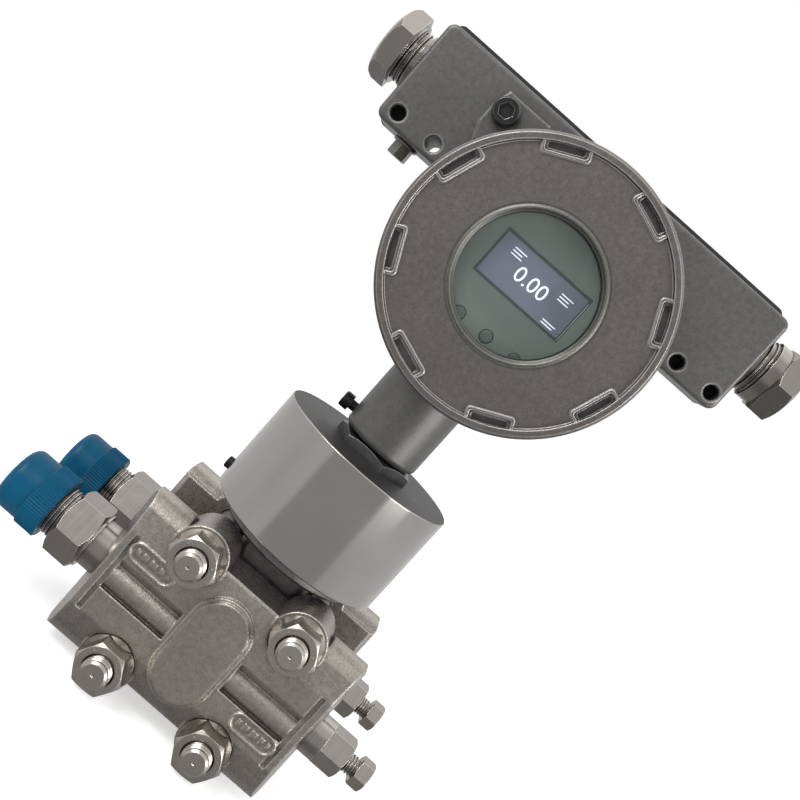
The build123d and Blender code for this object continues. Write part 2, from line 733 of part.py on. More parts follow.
def hub_set_screw():
    """The black set screw low on the hub's side."""
    at = (0, HUB_SCREW_Z)
    outer = -HUB_R - HUB_SCREW_OUT
    bevels = (HUB_SCREW_BEVEL, HUB_SCREW_BEVEL)
    body = bevelled_rod("X", HUB_SCREW_D / 2, outer, -HUB_R + HUB_SCREW_L, bevels, at)
    return body - socket("X", HUB_SCREW_D / 2, outer, outer + HUB_SCREW_OUT, at)


def hub_lock_nut():
    """The thin hexagon nut between hub and neck."""
    nut = hexagon("Z", LOCK_NUT_AF, HUB_Z1, HUB_Z1 + LOCK_NUT_T, turn=LOCK_NUT_TURN, bevels=(0, 1))
    return nut - rod("Z", STEM_R, HUB_Z1, HUB_Z1 + LOCK_NUT_T)


def box_outline(grow=0.0):
    """The terminal box seen from the front, grown evenly if wanted."""
    height = BOX_Z1 - BOX_Z0 + 2 * grow
    return Pos(0, (BOX_Z0 + BOX_Z1) / 2) * RectangleRounded(2 * (BOX_HALF_X + grow), height, BOX_CORNER)


def housing_casting():
    """The cast housing: neck, round drum, terminal box and screw ear."""
    neck = rod("Z", NECK_R, NECK_Z0, HEAD_Z - DRUM_IN_R)
    neck = fillet(neck.faces().sort_by(Axis.Z)[0].edges(), NECK_ROUND)
    neck -= rod("Y", COVER_R + COVER_GAP, DRUM_Y0, COVER_BACK_Y + COVER_GAP, (0, HEAD_Z))
    drum = rod("Y", DRUM_R, DRUM_Y0, DRUM_Y1, (0, HEAD_Z))
    drum = fillet(drum.faces().sort_by(Axis.Y)[-1].edges(), DRUM_ROUND)
    box = prism("Y", box_outline(), BOX_Y0, BOX_Y1)
    box = fillet(box.faces().sort_by(Axis.Y)[0].edges(), BOX_EDGE)
    ear = prism("Y", Pos(0, HEAD_Z) * Polygon(*EAR_POINTS, align=None), EAR_Y, BOX_Y0 + EAR_SCREW_DEEP)
    ear = fillet(ear.faces().sort_by(Axis.Y)[0].edges(), EAR_ROUND)
    body = neck + drum + box + ear
    divide = CAVITY_Z0 - DIVIDE_DROP
    body -= rod("Y", DRUM_IN_R, DRUM_Y0, CAVITY_Y - PARTITION_T, (0, HEAD_Z))
    low_half = block((-DRUM_R, DRUM_R), (DRUM_Y0, DRUM_FLOOR), (HEAD_Z - DRUM_R, divide))
    body -= rod("Y", DRUM_IN_R, DRUM_Y0, DRUM_FLOOR, (0, HEAD_Z)) & low_half
    body -= block((-CAVITY_HALF_X, CAVITY_HALF_X), (CAVITY_Y, BOX_Y1), (CAVITY_Z0, CAVITY_Z1))
    body -= rod("Y", WIRE_R, CAVITY_Y - PARTITION_T, CAVITY_Y, (0, ENTRY_Z - WIRE_DROP))
    body -= rod("Z", WIRE_R, NECK_Z0, HEAD_Z - DRUM_IN_R + PARTITION_T)
    body -= rod("Z", STEM_R + STEM_CLEAR, NECK_Z0, STEM_TOP + STEM_END_GAP)
    body -= rod("X", NECK_SCREW_D / 2, -NECK_R, 0, (0, NECK_SCREW_Z))
    body -= rod("Y", EAR_SCREW_D / 2, EAR_Y, BOX_Y0 + EAR_SCREW_DEEP, (EAR_SCREW_X, EAR_SCREW_Z))
    for hole_x in BOX_HOLE_XS:
        body -= rod("Y", BOX_HOLE_D / 2, BOX_Y0, BOX_Y1, (hole_x, BOX_HOLE_Z))
        body -= turned(
            "Y",
            [
                (BOX_Y0, 0),
                (BOX_Y0, BOX_HOLE_RIM_D / 2),
                (BOX_Y0 + BOX_HOLE_RIM_DEEP, BOX_HOLE_D / 2),
                (BOX_Y0 + BOX_HOLE_RIM_DEEP, 0),
            ],
            (hole_x, BOX_HOLE_Z),
        )
    for hole_x in TOP_HOLE_XS:
        body -= rod("Y", TOP_HOLE_D / 2, BOX_Y1 - TOP_HOLE_DEEP, BOX_Y1, (hole_x, TOP_HOLE_Z))
    entry = (ENTRY_Y, ENTRY_Z)
    body -= rod("X", ENTRY_THREAD_D / 2, -BOX_HALF_X, -CAVITY_HALF_X, entry)
    body -= rod("X", ENTRY_THREAD_D / 2, CAVITY_HALF_X, BOX_HALF_X, entry)
    return body - rod("Z", GROUND_THREAD_D / 2, BOX_Z0, BOX_Z0 + GROUND_THREAD_L, (GROUND_X, GROUND_Y))


def ear_screw():
    """The socket cap screw in the ear."""
    at = (EAR_SCREW_X, EAR_SCREW_Z)
    outer = EAR_Y - EAR_HEAD_L
    body = bevelled_rod("Y", EAR_HEAD_D / 2, outer, EAR_Y, (EAR_HEAD_BEVEL, 0), at)
    body += rod("Y", EAR_SCREW_D / 2, EAR_Y, BOX_Y0 + EAR_SCREW_DEEP, at)
    return body - socket("Y", EAR_SOCKET_AF, outer, outer + EAR_HEAD_L / 2, at)


def neck_screw():
    """The socket cap screw that locks the neck on the stem."""
    at = (0, NECK_SCREW_Z)
    outer = NECK_HEAD_X - NECK_HEAD_L
    body = bevelled_rod("X", NECK_HEAD_D / 2, outer, NECK_HEAD_X, (NECK_HEAD_BEVEL, 0), at)
    tip = -STEM_R - NECK_SCREW_GAP
    body += bevelled_rod("X", NECK_SCREW_D / 2, NECK_HEAD_X, tip, (0, NECK_SCREW_BEVEL), at)
    return body - socket("X", NECK_SOCKET_AF, outer, outer + NECK_HEAD_L / 2, at)


def rear_outline(grow=0.0):
    """The rear cover seen from the front, a little larger than the box."""
    height = REAR_Z1 - REAR_Z0 + 2 * grow
    return Pos(0, (REAR_Z0 + REAR_Z1) / 2) * RectangleRounded(2 * (REAR_HALF_X + grow), height, BOX_CORNER)


def rear_holes(shape, start, end, radius):
    """Drill every screw hole of the rear cover."""
    for hole_x in BOX_HOLE_XS:
        shape -= rod("Y", max(radius, BOX_HOLE_D / 2), start, end, (hole_x, BOX_HOLE_Z))
    for hole_x in TOP_HOLE_XS:
        shape -= rod("Y", radius, start, end, (hole_x, TOP_HOLE_Z))
    return shape


def rear_gasket():
    """The black gasket, standing out a little all round."""
    end = BOX_Y1 + GASKET_T
    body = prism("Y", rear_outline(GASKET_OUT), BOX_Y1, end)
    body -= block((-CAVITY_HALF_X, CAVITY_HALF_X), (BOX_Y1, end), (CAVITY_Z0, CAVITY_Z1))
    return rear_holes(body, BOX_Y1, end, REAR_SCREW_D / 2)


def rear_cover():
    """The screwed cover over the terminal compartment."""
    start = BOX_Y1 + GASKET_T
    end = start + REAR_T
    body = prism("Y", rear_outline(), start, end)
    body = fillet(body.faces().sort_by(Axis.Y)[-1].edges(), REAR_EDGE)
    body -= block((-CAVITY_HALF_X, CAVITY_HALF_X), (start, start + REAR_HOLLOW), (CAVITY_Z0, CAVITY_Z1))
    return rear_holes(body, start, end, REAR_SCREW_D / 2)


def rear_screw(hole_x, hole_z, length):
    """A socket cap screw on the rear cover."""
    at = (hole_x, hole_z)
    seat = BOX_Y1 + GASKET_T + REAR_T
    outer = seat + REAR_SCREW_HEAD_L
    shank_r = BOX_HOLE_D / 2 if hole_z == BOX_HOLE_Z else REAR_SCREW_D / 2
    body = bevelled_rod("Y", REAR_SCREW_HEAD_D / 2, seat, outer, (0, REAR_SCREW_BEVEL), at)
    body += rod("Y", shank_r, seat - REAR_T - GASKET_T - length, seat, at)
    return body - socket("Y", REAR_SOCKET_AF, outer - REAR_SCREW_HEAD_L / 2, outer, at)


def wrench_pocket():
    """Lip and cutter of one wrench pocket, drawn at the +X side of the cover."""
    outer_x = (COVER_RIM_IN_R + COVER_R) / 2
    pieces = []
    for inset in (0, POCKET_LIP, POCKET_LIP + POCKET_GAP):
        half_w = POCKET_HALF_W - inset
        inner_x = POCKET_IN_R + inset
        outline = Pos((inner_x + outer_x) / 2, 0) * Rectangle(outer_x - inner_x, 2 * half_w)
        corners = outline.vertices().sort_by(Axis.X)[:2]
        pieces.append(fillet(corners, POCKET_CORNER - inset * POCKET_CORNER_DROP))
    return pieces


def display_cover():
    """The screwed display cover: rim, face, eight wrench pockets and window."""
    bore_r = DRUM_R + THREAD_CLEAR
    plate_back = COVER_FACE_Y + COVER_PLATE_T
    body = turned(
        "Y",
        [
            (COVER_RIM_Y, COVER_RIM_IN_R),
            (COVER_RIM_Y, COVER_R - COVER_EDGE),
            (COVER_RIM_Y + COVER_EDGE, COVER_R),
            (COVER_BACK_Y - COVER_EDGE / 2, COVER_R),
            (COVER_BACK_Y, COVER_R - COVER_EDGE / 2),
            (COVER_BACK_Y, bore_r),
            (plate_back, bore_r),
            (plate_back, COLLAR_R),
            (COLLAR_Y, COLLAR_R),
            (COLLAR_Y, GLASS_R + GLASS_CLEAR),
            (GLASS_SEAT_Y, GLASS_R + GLASS_CLEAR),
            (GLASS_SEAT_Y, WINDOW_R),
            (COVER_FACE_Y + WINDOW_BEVEL_DEEP, WINDOW_R),
            (COVER_FACE_Y - WINDOW_LIP_UP, WINDOW_BEVEL_R - WINDOW_LIP_W),
            (COVER_FACE_Y - WINDOW_LIP_UP, WINDOW_BEVEL_R),
            (COVER_FACE_Y, WINDOW_BEVEL_R + WINDOW_LIP_W),
            (COVER_FACE_Y, COVER_RIM_IN_R - RIM_FOOT),
        ],
        (0, HEAD_Z),
    )
    lip, gap, slot = wrench_pocket()
    rim_bore = Circle(COVER_RIM_IN_R + RIM_FOOT / 2)
    for index in range(POCKET_COUNT):
        angle = POCKET_FIRST + index * 360 / POCKET_COUNT
        place = Pos(0, HEAD_Z) * Rot(0, 0, angle)
        body += prism("Y", place * (lip - gap), COVER_FACE_Y - POCKET_LIP_UP, COVER_FACE_Y)
        body -= prism("Y", place * (gap & rim_bore), COVER_FACE_Y - POCKET_LIP_UP, COVER_FACE_Y + POCKET_TIER)
        body -= prism("Y", place * (slot & rim_bore), COVER_FACE_Y, COVER_FACE_Y + POCKET_DEEP)
    groove_end = RING_GROOVE_Y0 + RING_GROOVE_L
    groove = rod("Y", bore_r + RING_GROOVE_DEEP, RING_GROOVE_Y0, groove_end, (0, HEAD_Z))
    return body - groove


def cover_oring():
    """The ring in the cover's groove; it slides with the cover without turning."""
    start = RING_GROOVE_Y0 + RING_SIDE_CLEAR
    end = RING_GROOVE_Y0 + RING_GROOVE_L - RING_SIDE_CLEAR
    outer_r = DRUM_R + THREAD_CLEAR + RING_GROOVE_DEEP - RING_FIT
    ring = bevelled_rod("Y", outer_r, start, end, (RING_BEVEL, RING_BEVEL), (0, HEAD_Z))
    return ring - rod("Y", DRUM_R + RING_FIT, start, end, (0, HEAD_Z))


def window_glass():
    """The flat glass of the display window."""
    bevels = (GLASS_BEVEL, GLASS_BEVEL)
    return bevelled_rod("Y", GLASS_R, GLASS_SEAT_Y, GLASS_SEAT_Y + GLASS_T, bevels, (0, HEAD_Z))


def window_retainer():
    """The ring that holds the glass from behind."""
    start = GLASS_SEAT_Y + GLASS_T
    ring = rod("Y", GLASS_R, start, start + RETAINER_T, (0, HEAD_Z))
    return ring - rod("Y", WINDOW_R, start, start + RETAINER_T, (0, HEAD_Z))


def display_faceplate():
    """The green plate around the screen with three button holes."""
    end = FACEPLATE_Y + FACEPLATE_T
    body = rod("Y", FACEPLATE_R, FACEPLATE_Y, end, (0, HEAD_Z))
    body -= prism("Y", Pos(SCREEN_X, SCREEN_Z) * Rectangle(SCREEN_L, SCREEN_H), FACEPLATE_Y, end)
    for button_x in BUTTON_XS:
        body -= rod("Y", BUTTON_R + BUTTON_GAP, FACEPLATE_Y, end, (button_x, BUTTON_Z))
    return body


def display_module():
    """The display: screen in the plate's opening, wider body behind it."""
    back = FACEPLATE_Y + FACEPLATE_T
    screen = Pos(SCREEN_X, SCREEN_Z) * Rectangle(SCREEN_L - 2 * SCREEN_CLEAR, SCREEN_H - 2 * SCREEN_CLEAR)
    frame = Pos(SCREEN_X, SCREEN_Z) * Rectangle(SCREEN_L + 2 * SCREEN_FRAME, SCREEN_H + 2 * SCREEN_FRAME)
    return prism("Y", screen, FACEPLATE_Y + SCREEN_SINK, back) + prism("Y", frame, back, back + MODULE_T)


def push_button(button_x):
    """A push button held behind the plate by its flange."""
    at = (button_x, BUTTON_Z)
    back = FACEPLATE_Y + FACEPLATE_T + BUTTON_GAP
    body = bevelled_rod("Y", BUTTON_R, FACEPLATE_Y - BUTTON_UP, back, (BUTTON_BEVEL, 0), at)
    return body + rod("Y", BUTTON_FLANGE_R, back, back + BUTTON_FLANGE_T, at)


def electronics_board():
    """The round board behind the display with the three switches on it."""
    start = FACEPLATE_Y + FACEPLATE_T + MODULE_T
    body = rod("Y", BOARD_R, start, start + BOARD_T, (0, HEAD_Z))
    switch_y = FACEPLATE_Y + FACEPLATE_T + BUTTON_GAP + BUTTON_FLANGE_T + BUTTON_TRAVEL + SWITCH_GAP
    for button_x in BUTTON_XS:
        body += block(
            (button_x - SWITCH_W / 2, button_x + SWITCH_W / 2),
            (switch_y, start),
            (BUTTON_Z - SWITCH_W / 2, BUTTON_Z + SWITCH_W / 2),
        )
    return body


def terminal_block():
    """The terminal strip in the rear compartment."""
    z_range = (ENTRY_Z - BLOCK_H / 2, ENTRY_Z + BLOCK_H / 2)
    body = block((-BLOCK_L / 2, BLOCK_L / 2), (CAVITY_Y, CAVITY_Y + BLOCK_T), z_range)
    rib_y = (CAVITY_Y + BLOCK_T, CAVITY_Y + BLOCK_T + BLOCK_SCREW_L)
    for index in range(BLOCK_POLES + 1):
        rib_x = -BLOCK_L / 2 + index * (BLOCK_L - BLOCK_RIB) / BLOCK_POLES
        body += block((rib_x, rib_x + BLOCK_RIB), rib_y, z_range)
    return body


def terminal_screws():
    """One slotted screw for each terminal."""
    pitch = BLOCK_L / BLOCK_POLES
    start = CAVITY_Y + BLOCK_T
    screws = []
    for index in range(BLOCK_POLES):
        screw_x = -BLOCK_L / 2 + (index + 0.5) * pitch
        body = rod("Y", BLOCK_SCREW_D / 2, start, start + BLOCK_SCREW_L, (screw_x, ENTRY_Z))
        slot_y = (start + BLOCK_SCREW_L - BLOCK_SLOT, start + BLOCK_SCREW_L)
        slot_z = (ENTRY_Z - BLOCK_SLOT / 2, ENTRY_Z + BLOCK_SLOT / 2)
        screws.append(body - block((screw_x - BLOCK_SCREW_D, screw_x + BLOCK_SCREW_D), slot_y, slot_z))
    return Compound(children=screws)


def blanking_plug():
    """The closed plug in the left conduit entry."""
    at = (ENTRY_Y, ENTRY_Z)
    shaft = turned(
        "X",
        [
            (-BOX_HALF_X + PLUG_IN_L, 0),
            (-BOX_HALF_X + PLUG_IN_L, ENTRY_THREAD_D / 2),
            (-BOX_HALF_X, ENTRY_THREAD_D / 2),
            (-BOX_HALF_X, PLUG_COLLAR_D / 2),
            (-BOX_HALF_X - PLUG_COLLAR_L, PLUG_COLLAR_D / 2),
            (-BOX_HALF_X - PLUG_COLLAR_L, PLUG_NECK_D / 2),
            (PLUG_HEX_X + PLUG_RING_T, PLUG_NECK_D / 2),
            (PLUG_HEX_X + PLUG_RING_T, PLUG_RING_D / 2),
            (PLUG_HEX_X, PLUG_RING_D / 2),
            (PLUG_HEX_X, 0),
        ],
        at,
    )
    corner = PLUG_HEX_AF / 2 / COS30
    dome = turned(
        "X",
        [
            (PLUG_HEX_X, 0),
            (PLUG_HEX_X, corner),
            *((PLUG_HEX_END + step, corner - drop) for step, drop in PLUG_DOME),
            (PLUG_HEX_END, 0),
        ],
        at,
    )
    outline = Rot(0, 0, PLUG_HEX_TURN) * RegularPolygon(PLUG_HEX_AF / 2, 6, major_radius=False)
    return shaft + (prism("X", Pos(ENTRY_Y, ENTRY_Z) * outline, PLUG_HEX_END, PLUG_HEX_X) & dome)


def gland_body():
    """The cable gland's body in the right entry."""
    at = (ENTRY_Y, ENTRY_Z)
    body = turned(
        "X",
        [
            (BOX_HALF_X - PLUG_IN_L, 0),
            (BOX_HALF_X - PLUG_IN_L, ENTRY_THREAD_D / 2),
            (BOX_HALF_X, ENTRY_THREAD_D / 2),
            (BOX_HALF_X, GLAND_NECK_D / 2),
            (GLAND_NECK_END, GLAND_NECK_D / 2),
            (GLAND_NECK_END, GLAND_COLLAR_D / 2),
            (GLAND_NUT_X, GLAND_COLLAR_D / 2),
            (GLAND_NUT_X, GLAND_NUT_FIT_R),
            (GLAND_NUT_X + GLAND_NUT_FIT_L, GLAND_NUT_FIT_R),
            (GLAND_NUT_X + GLAND_NUT_FIT_L, 0),
        ],
        at,
    )
    body -= rod("X", GLAND_BORE_R, BOX_HALF_X - PLUG_IN_L, GLAND_NUT_END, at)
    return body - rod("X", GLAND_SEAL_R, GLAND_NUT_X - GLAND_SEAL_IN, GLAND_NUT_END, at)


def gland_seal():
    """The rubber seal around the cable hole."""
    at = (ENTRY_Y, ENTRY_Z)
    start = GLAND_NUT_X - GLAND_SEAL_IN
    ring = rod("X", GLAND_SEAL_R, start, start + GLAND_SEAL_L, at)
    return ring - rod("X", GLAND_HOLE_R, start, start + GLAND_SEAL_L, at)


def gland_nut():
    """The gland's hexagon nut with its rounded mouth."""
    at = (ENTRY_Y, ENTRY_Z)
    nut = hexagon("X", PLUG_HEX_AF, GLAND_NUT_X, GLAND_NUT_END, at, turn=GLAND_NUT_TURN)
    nut -= rod("X", GLAND_NUT_FIT_R, GLAND_NUT_X, GLAND_NUT_X + GLAND_NUT_FIT_L, at)
    return nut - rod("X", GLAND_BORE_R, GLAND_NUT_X, GLAND_NUT_END, at)


def ground_screw():
    """The ground screw under the box's left end."""
    at = (GROUND_X, GROUND_Y)
    seat = BOX_Z0 - GROUND_WASHER_T
    body = hexagon("Z", GROUND_HEAD_AF, seat - GROUND_HEAD_L, seat, at, turn=GROUND_HEAD_TURN, bevels=(1, 0))
    return body + rod("Z", GROUND_THREAD_D / 2, seat, BOX_Z0 + GROUND_THREAD_L, at)


def ground_washer():
    """The washer under the ground screw's head."""
    at = (GROUND_X, GROUND_Y)
    seat = BOX_Z0 - GROUND_WASHER_T
    bevels = (GROUND_WASHER_BEVEL, GROUND_WASHER_BEVEL)
    ring = bevelled_rod("Z", GROUND_WASHER_D / 2, seat, BOX_Z0, bevels, at)
    return ring - rod("Z", GROUND_THREAD_D / 2, seat, BOX_Z0, at)


flange = process_flange()
save("process_flange_front", flange)
save("process_flange_rear", mirrored(flange))
save("flange_studs", Compound(children=[flange_stud(point) for point in bolt_points]))
front_nuts = [flange_nut(point) for point in bolt_points]
rear_nuts = [mirrored(nut) for nut in front_nuts]
save("flange_nuts", Compound(children=front_nuts + rear_nuts))
save("process_nipple_front", process_nipple(0.0, NIPPLE_HEX_L))
save("process_nipple_rear", mirrored(process_nipple(REAR_NIPPLE_SHIFT, REAR_HEX_L)))
save("protective_cap_front", protective_cap(0.0))
save("protective_cap_rear", mirrored(protective_cap(REAR_CAP_SHIFT)))
save("vent_body_front", vent_body(0.0))
save("vent_body_rear", mirrored(vent_body(REAR_VENT_SHIFT)))
save("vent_screw_front", vent_screw(0.0))
save("vent_screw_rear", mirrored(vent_screw(REAR_VENT_SHIFT)))
save("vent_needle_front", vent_needle(0.0))
save("vent_needle_rear", mirrored(vent_needle(REAR_VENT_SHIFT)))
save("sensor_capsule", sensor_capsule())
save("flange_seal_front", flange_seal(-1))
save("flange_seal_rear", flange_seal(1))
save("sensor_hub", sensor_hub())
save("hub_set_screw", hub_set_screw())
save("hub_lock_nut", hub_lock_nut())
save("housing_casting", housing_casting())
save("ear_screw", ear_screw())
save("neck_screw", neck_screw())
save("rear_gasket", rear_gasket())
save("rear_cover", rear_cover())
low_screws = [rear_screw(x, BOX_HOLE_Z, REAR_SCREW_LOW_L) for x in BOX_HOLE_XS if x != BOX_HOLE_XS[1]]
top_screws = [rear_screw(x, TOP_HOLE_Z, TOP_HOLE_DEEP - REAR_SCREW_END_GAP) for x in TOP_HOLE_XS]
save("rear_cover_screws", Compound(children=low_screws + top_screws))
save("display_cover", display_cover())
save("cover_oring", cover_oring())
save("window_glass", window_glass())
save("window_retainer", window_retainer())
save("display_faceplate", display_faceplate())
save("display_module", display_module())
for button_x, name in zip(BUTTON_XS, BUTTON_NAMES):
    save(f"button_{name}", push_button(button_x))
save("electronics_board", electronics_board())
save("terminal_block", terminal_block())
save("terminal_screws", terminal_screws())
save("blanking_plug", blanking_plug())
save("gland_body", gland_body())
save("gland_seal", gland_seal())
save("gland_nut", gland_nut())
save("ground_screw", ground_screw())
save("ground_washer", ground_washer())
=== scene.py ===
import math

import bpy
from mathutils import Matrix, Vector


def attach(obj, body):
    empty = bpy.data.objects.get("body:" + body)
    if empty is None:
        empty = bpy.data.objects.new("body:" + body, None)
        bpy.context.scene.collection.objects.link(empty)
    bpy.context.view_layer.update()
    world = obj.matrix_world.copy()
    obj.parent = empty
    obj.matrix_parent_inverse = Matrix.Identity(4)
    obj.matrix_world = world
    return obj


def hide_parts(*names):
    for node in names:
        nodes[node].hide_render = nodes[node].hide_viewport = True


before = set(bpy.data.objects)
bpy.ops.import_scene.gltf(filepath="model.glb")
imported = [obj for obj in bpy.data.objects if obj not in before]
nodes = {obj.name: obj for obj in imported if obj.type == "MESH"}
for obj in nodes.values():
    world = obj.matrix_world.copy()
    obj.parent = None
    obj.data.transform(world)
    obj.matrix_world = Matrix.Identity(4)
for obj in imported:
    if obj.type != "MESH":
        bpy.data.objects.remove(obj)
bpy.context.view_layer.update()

# Studio: a pale floor, a white backdrop all round and soft light. The front side
# and all that lies low are darker, and mirroring metal sees a brighter ceiling and
# no floor, so that turned metal shows bright and dark bands.
# Pieces and the camera are placed in millimetres, and MM makes them metres. The
# floor, the lamps and the finishes' grain and depths are in metres.
MM = 0.001
CAMERA_PLACE = Vector((-15.98, -419.49, 193.90)) * MM
CAMERA_RIGHT = Vector((0.748132, 0.057209, 0.661079))
CAMERA_DOWN = Vector((0.663116, -0.100477, -0.741742))
CAMERA_LENS = 50.24
CAMERA_NEAR = 0.01
FLOOR_SIZE = 6.0
FLOOR_COLOUR = (0.9, 0.9, 0.9, 1)
FLOOR_ROUGHNESS = 0.9
FLOOR_LIFT = 0.55
WHITE = (1, 1, 1, 1)
SKY_LIGHT = (0.62, 0.62, 0.62, 1)
MIRRORED_SKY = (0.78, 0.78, 0.78, 1)
LOW_SHADE = (0.42, 0.42, 0.42, 1)
LOW_FROM, LOW_TO = -0.32, -0.6
CEILING_GAIN = 1.9
CEILING_FROM, CEILING_TO = 0.42, 0.66
FRONT_END, BACK_START = -0.4, -0.05
# Place from the left to the right of the front side, and brightness there.
FRONT_BANDS = (
    (0.0, 0.66),
    (0.1, 0.76),
    (0.2, 0.76),
    (0.222, 0.47),
    (0.845, 0.45),
    (0.868, 0.66),
    (1.0, 0.7),
)
LAMP_AIM = Vector((0, 0, 0.12))
# Name, place, size and power.
LAMPS = (
    ("window_light", (-0.75, -0.75, 0.85), 0.7, 11.0),
    ("bounce_light", (0.95, -0.55, 0.25), 0.6, 8.0),
)

camera_data = bpy.data.cameras.new("camera")
camera_data.lens = CAMERA_LENS
camera_data.clip_start = CAMERA_NEAR
camera = bpy.data.objects.new("camera", camera_data)
bpy.context.collection.objects.link(camera)
camera_up = -CAMERA_DOWN
camera_back = CAMERA_RIGHT.cross(camera_up)
turn = Matrix((CAMERA_RIGHT, camera_up, camera_back)).transposed()
camera.matrix_world = Matrix.Translation(CAMERA_PLACE) @ turn.to_4x4()
bpy.context.scene.camera = camera
bpy.context.scene.view_settings.view_transform = "Standard"


def new_material(name):
    """A node material with its tree, shader and object coordinates."""
    material = bpy.data.materials.new(name)
    material.use_nodes = True
    tree = material.node_tree
    place = tree.nodes.new("ShaderNodeTexCoord").outputs["Object"]
    return material, tree, tree.nodes["Principled BSDF"], place


def put_node(tree, kind, inputs=None, **settings):
    """Add a shader node; inputs are values or the sockets that feed them."""
    node = tree.nodes.new(kind)
    for name, value in settings.items():
        setattr(node, name, value)
    for name, value in (inputs or {}).items():
        if isinstance(value, bpy.types.NodeSocket):
            tree.links.new(value, node.inputs[name])
        else:
            node.inputs[name].default_value = value
    return node


def mix_colours(tree, factor, first, second, blend="MIX"):
    """The mix of two colours, each a value or a socket."""
    inputs = {"Factor": factor, "A": first, "B": second}
    node = put_node(tree, "ShaderNodeMix", inputs, data_type="RGBA", blend_type=blend)
    return node.outputs["Result"]


def colour_ramp(tree, factor, stops):
    """A colour ramp with its own stops."""
    ramp = put_node(tree, "ShaderNodeValToRGB", {"Fac": factor})
    elements = ramp.color_ramp.elements
    elements[0].position, elements[0].color = stops[0]
    elements[1].position, elements[1].color = stops[-1]
    for position, colour in stops[1:-1]:
        elements.new(position).color = colour
    return ramp.outputs["Color"]


def calculate(tree, operation, first, second=0.0):
    """One sum on two numbers, each a value or a socket."""
    inputs = {0: first, 1: second}
    return put_node(tree, "ShaderNodeMath", inputs, operation=operation).outputs["Value"]


def map_value(tree, value, low, high, start=0.0, end=1.0):
    """Map a value's range from start..end to low..high."""
    inputs = {"Value": value, "From Min": start, "From Max": end, "To Min": low, "To Max": high}
    return put_node(tree, "ShaderNodeMapRange", inputs).outputs["Result"]


bpy.ops.object.select_all(action="DESELECT")
bpy.ops.mesh.primitive_plane_add(size=FLOOR_SIZE, location=(0, 0, 0))
floor = bpy.context.object
floor.name = "floor"
floor_paint, floor_tree, floor_shader, _ = new_material("studio_floor")
floor_shader.inputs["Base Color"].default_value = FLOOR_COLOUR
floor_shader.inputs["Roughness"].default_value = FLOOR_ROUGHNESS
floor_shader.inputs["Specular IOR Level"].default_value = 0.0
floor_shader.inputs["Emission Color"].default_value = WHITE
floor_rays = put_node(floor_tree, "ShaderNodeLightPath").outputs
floor_lift = calculate(floor_tree, "MULTIPLY", floor_rays["Is Camera Ray"], FLOOR_LIFT)
floor_tree.links.new(floor_lift, floor_shader.inputs["Emission Strength"])
floor_gap = put_node(floor_tree, "ShaderNodeBsdfTransparent").outputs["BSDF"]
floor_mix = put_node(
    floor_tree,
    "ShaderNodeMixShader",
    {0: floor_rays["Is Glossy Ray"], 1: floor_shader.outputs["BSDF"], 2: floor_gap},
)
floor_end = floor_tree.nodes["Material Output"]
floor_tree.links.new(floor_mix.outputs["Shader"], floor_end.inputs["Surface"])
floor.data.materials.append(floor_paint)

world = bpy.data.worlds.new("studio")
bpy.context.scene.world = world
world.use_nodes = True
sky = world.node_tree
direction = put_node(sky, "ShaderNodeTexCoord").outputs["Generated"]
toward = put_node(sky, "ShaderNodeSeparateXYZ", {"Vector": direction}).outputs
past_front = map_value(sky, toward["Y"], 0.0, 1.0, FRONT_END, BACK_START)
across = map_value(sky, toward["X"], 0.0, 1.0, -1.0, 1.0)
band_stops = [(position, (level, level, level, 1)) for position, level in FRONT_BANDS]
bands = colour_ramp(sky, across, band_stops)
rays = put_node(sky, "ShaderNodeLightPath").outputs
mirrored = calculate(sky, "MAXIMUM", rays["Is Glossy Ray"], rays["Is Transmission Ray"])
behind = mix_colours(sky, mirrored, SKY_LIGHT, MIRRORED_SKY)
around = mix_colours(sky, past_front, bands, behind)
low = map_value(sky, toward["Z"], 0.0, 1.0, LOW_FROM, LOW_TO)
low_gain = mix_colours(sky, low, WHITE, LOW_SHADE)
shaded = mix_colours(sky, 1.0, around, low_gain, "MULTIPLY")
ceiling_gain = map_value(sky, toward["Z"], 1.0, CEILING_GAIN, CEILING_FROM, CEILING_TO)
ceiling = mix_colours(sky, 1.0, shaded, ceiling_gain, "MULTIPLY")
surround = mix_colours(sky, mirrored, shaded, ceiling)
seen = mix_colours(sky, rays["Is Camera Ray"], surround, WHITE)
sky.links.new(seen, sky.nodes["Background"].inputs["Color"])

for name, place, size, power in LAMPS:
    lamp_data = bpy.data.lights.new(name, "AREA")
    lamp_data.size = size
    lamp_data.energy = power
    lamp = bpy.data.objects.new(name, lamp_data)
    bpy.context.collection.objects.link(lamp)
    lamp.location = place
    lamp.rotation_euler = (Vector(place) - LAMP_AIM).to_track_quat("Z", "Y").to_euler()

# Process flanges: two stainless castings, bead blasted and pickled, so they are
# mottled grey-brown with a fine grain; their corners are darkened as painted shade
# and their edges painted bright, partly as rubbing and partly as a highlight. Plain
# raised bars fill the two tags cast on each face.
FLANGE_FACE_Y = -41.0
PORT_Z = 36.5
# The tags' middles from the port's axis, and each bar's place and width in a tag.
TAG_PLACES = ((-33.2, 12.7), (33.0, -10.0))
TAG_BARS = ((-6.6, 1.6), (-3.4, 2.6), (0.4, 3.0), (4.0, 2.0), (6.9, 1.4))
TAG_BAR_DEPTH = 0.9
TAG_BAR_H = 3.4
BAR_ROUNDING = 0.3
SMOOTH_BELOW = math.radians(32)
BEVEL_SAMPLES = 6
CORNER_SAMPLES = 8
OPEN_FROM, OPEN_TO = 0.15, 0.85
FLAT_ABOVE = 0.99
MOTTLE_FROM, MOTTLE_TO = 0.36, 0.64
STAIN_FROM, STAIN_TO = 0.3, 0.7
STAIN_SHARE = 0.6
SPECK_SHARE = 0.35
CAST_ROUGH_SPREAD = 0.06


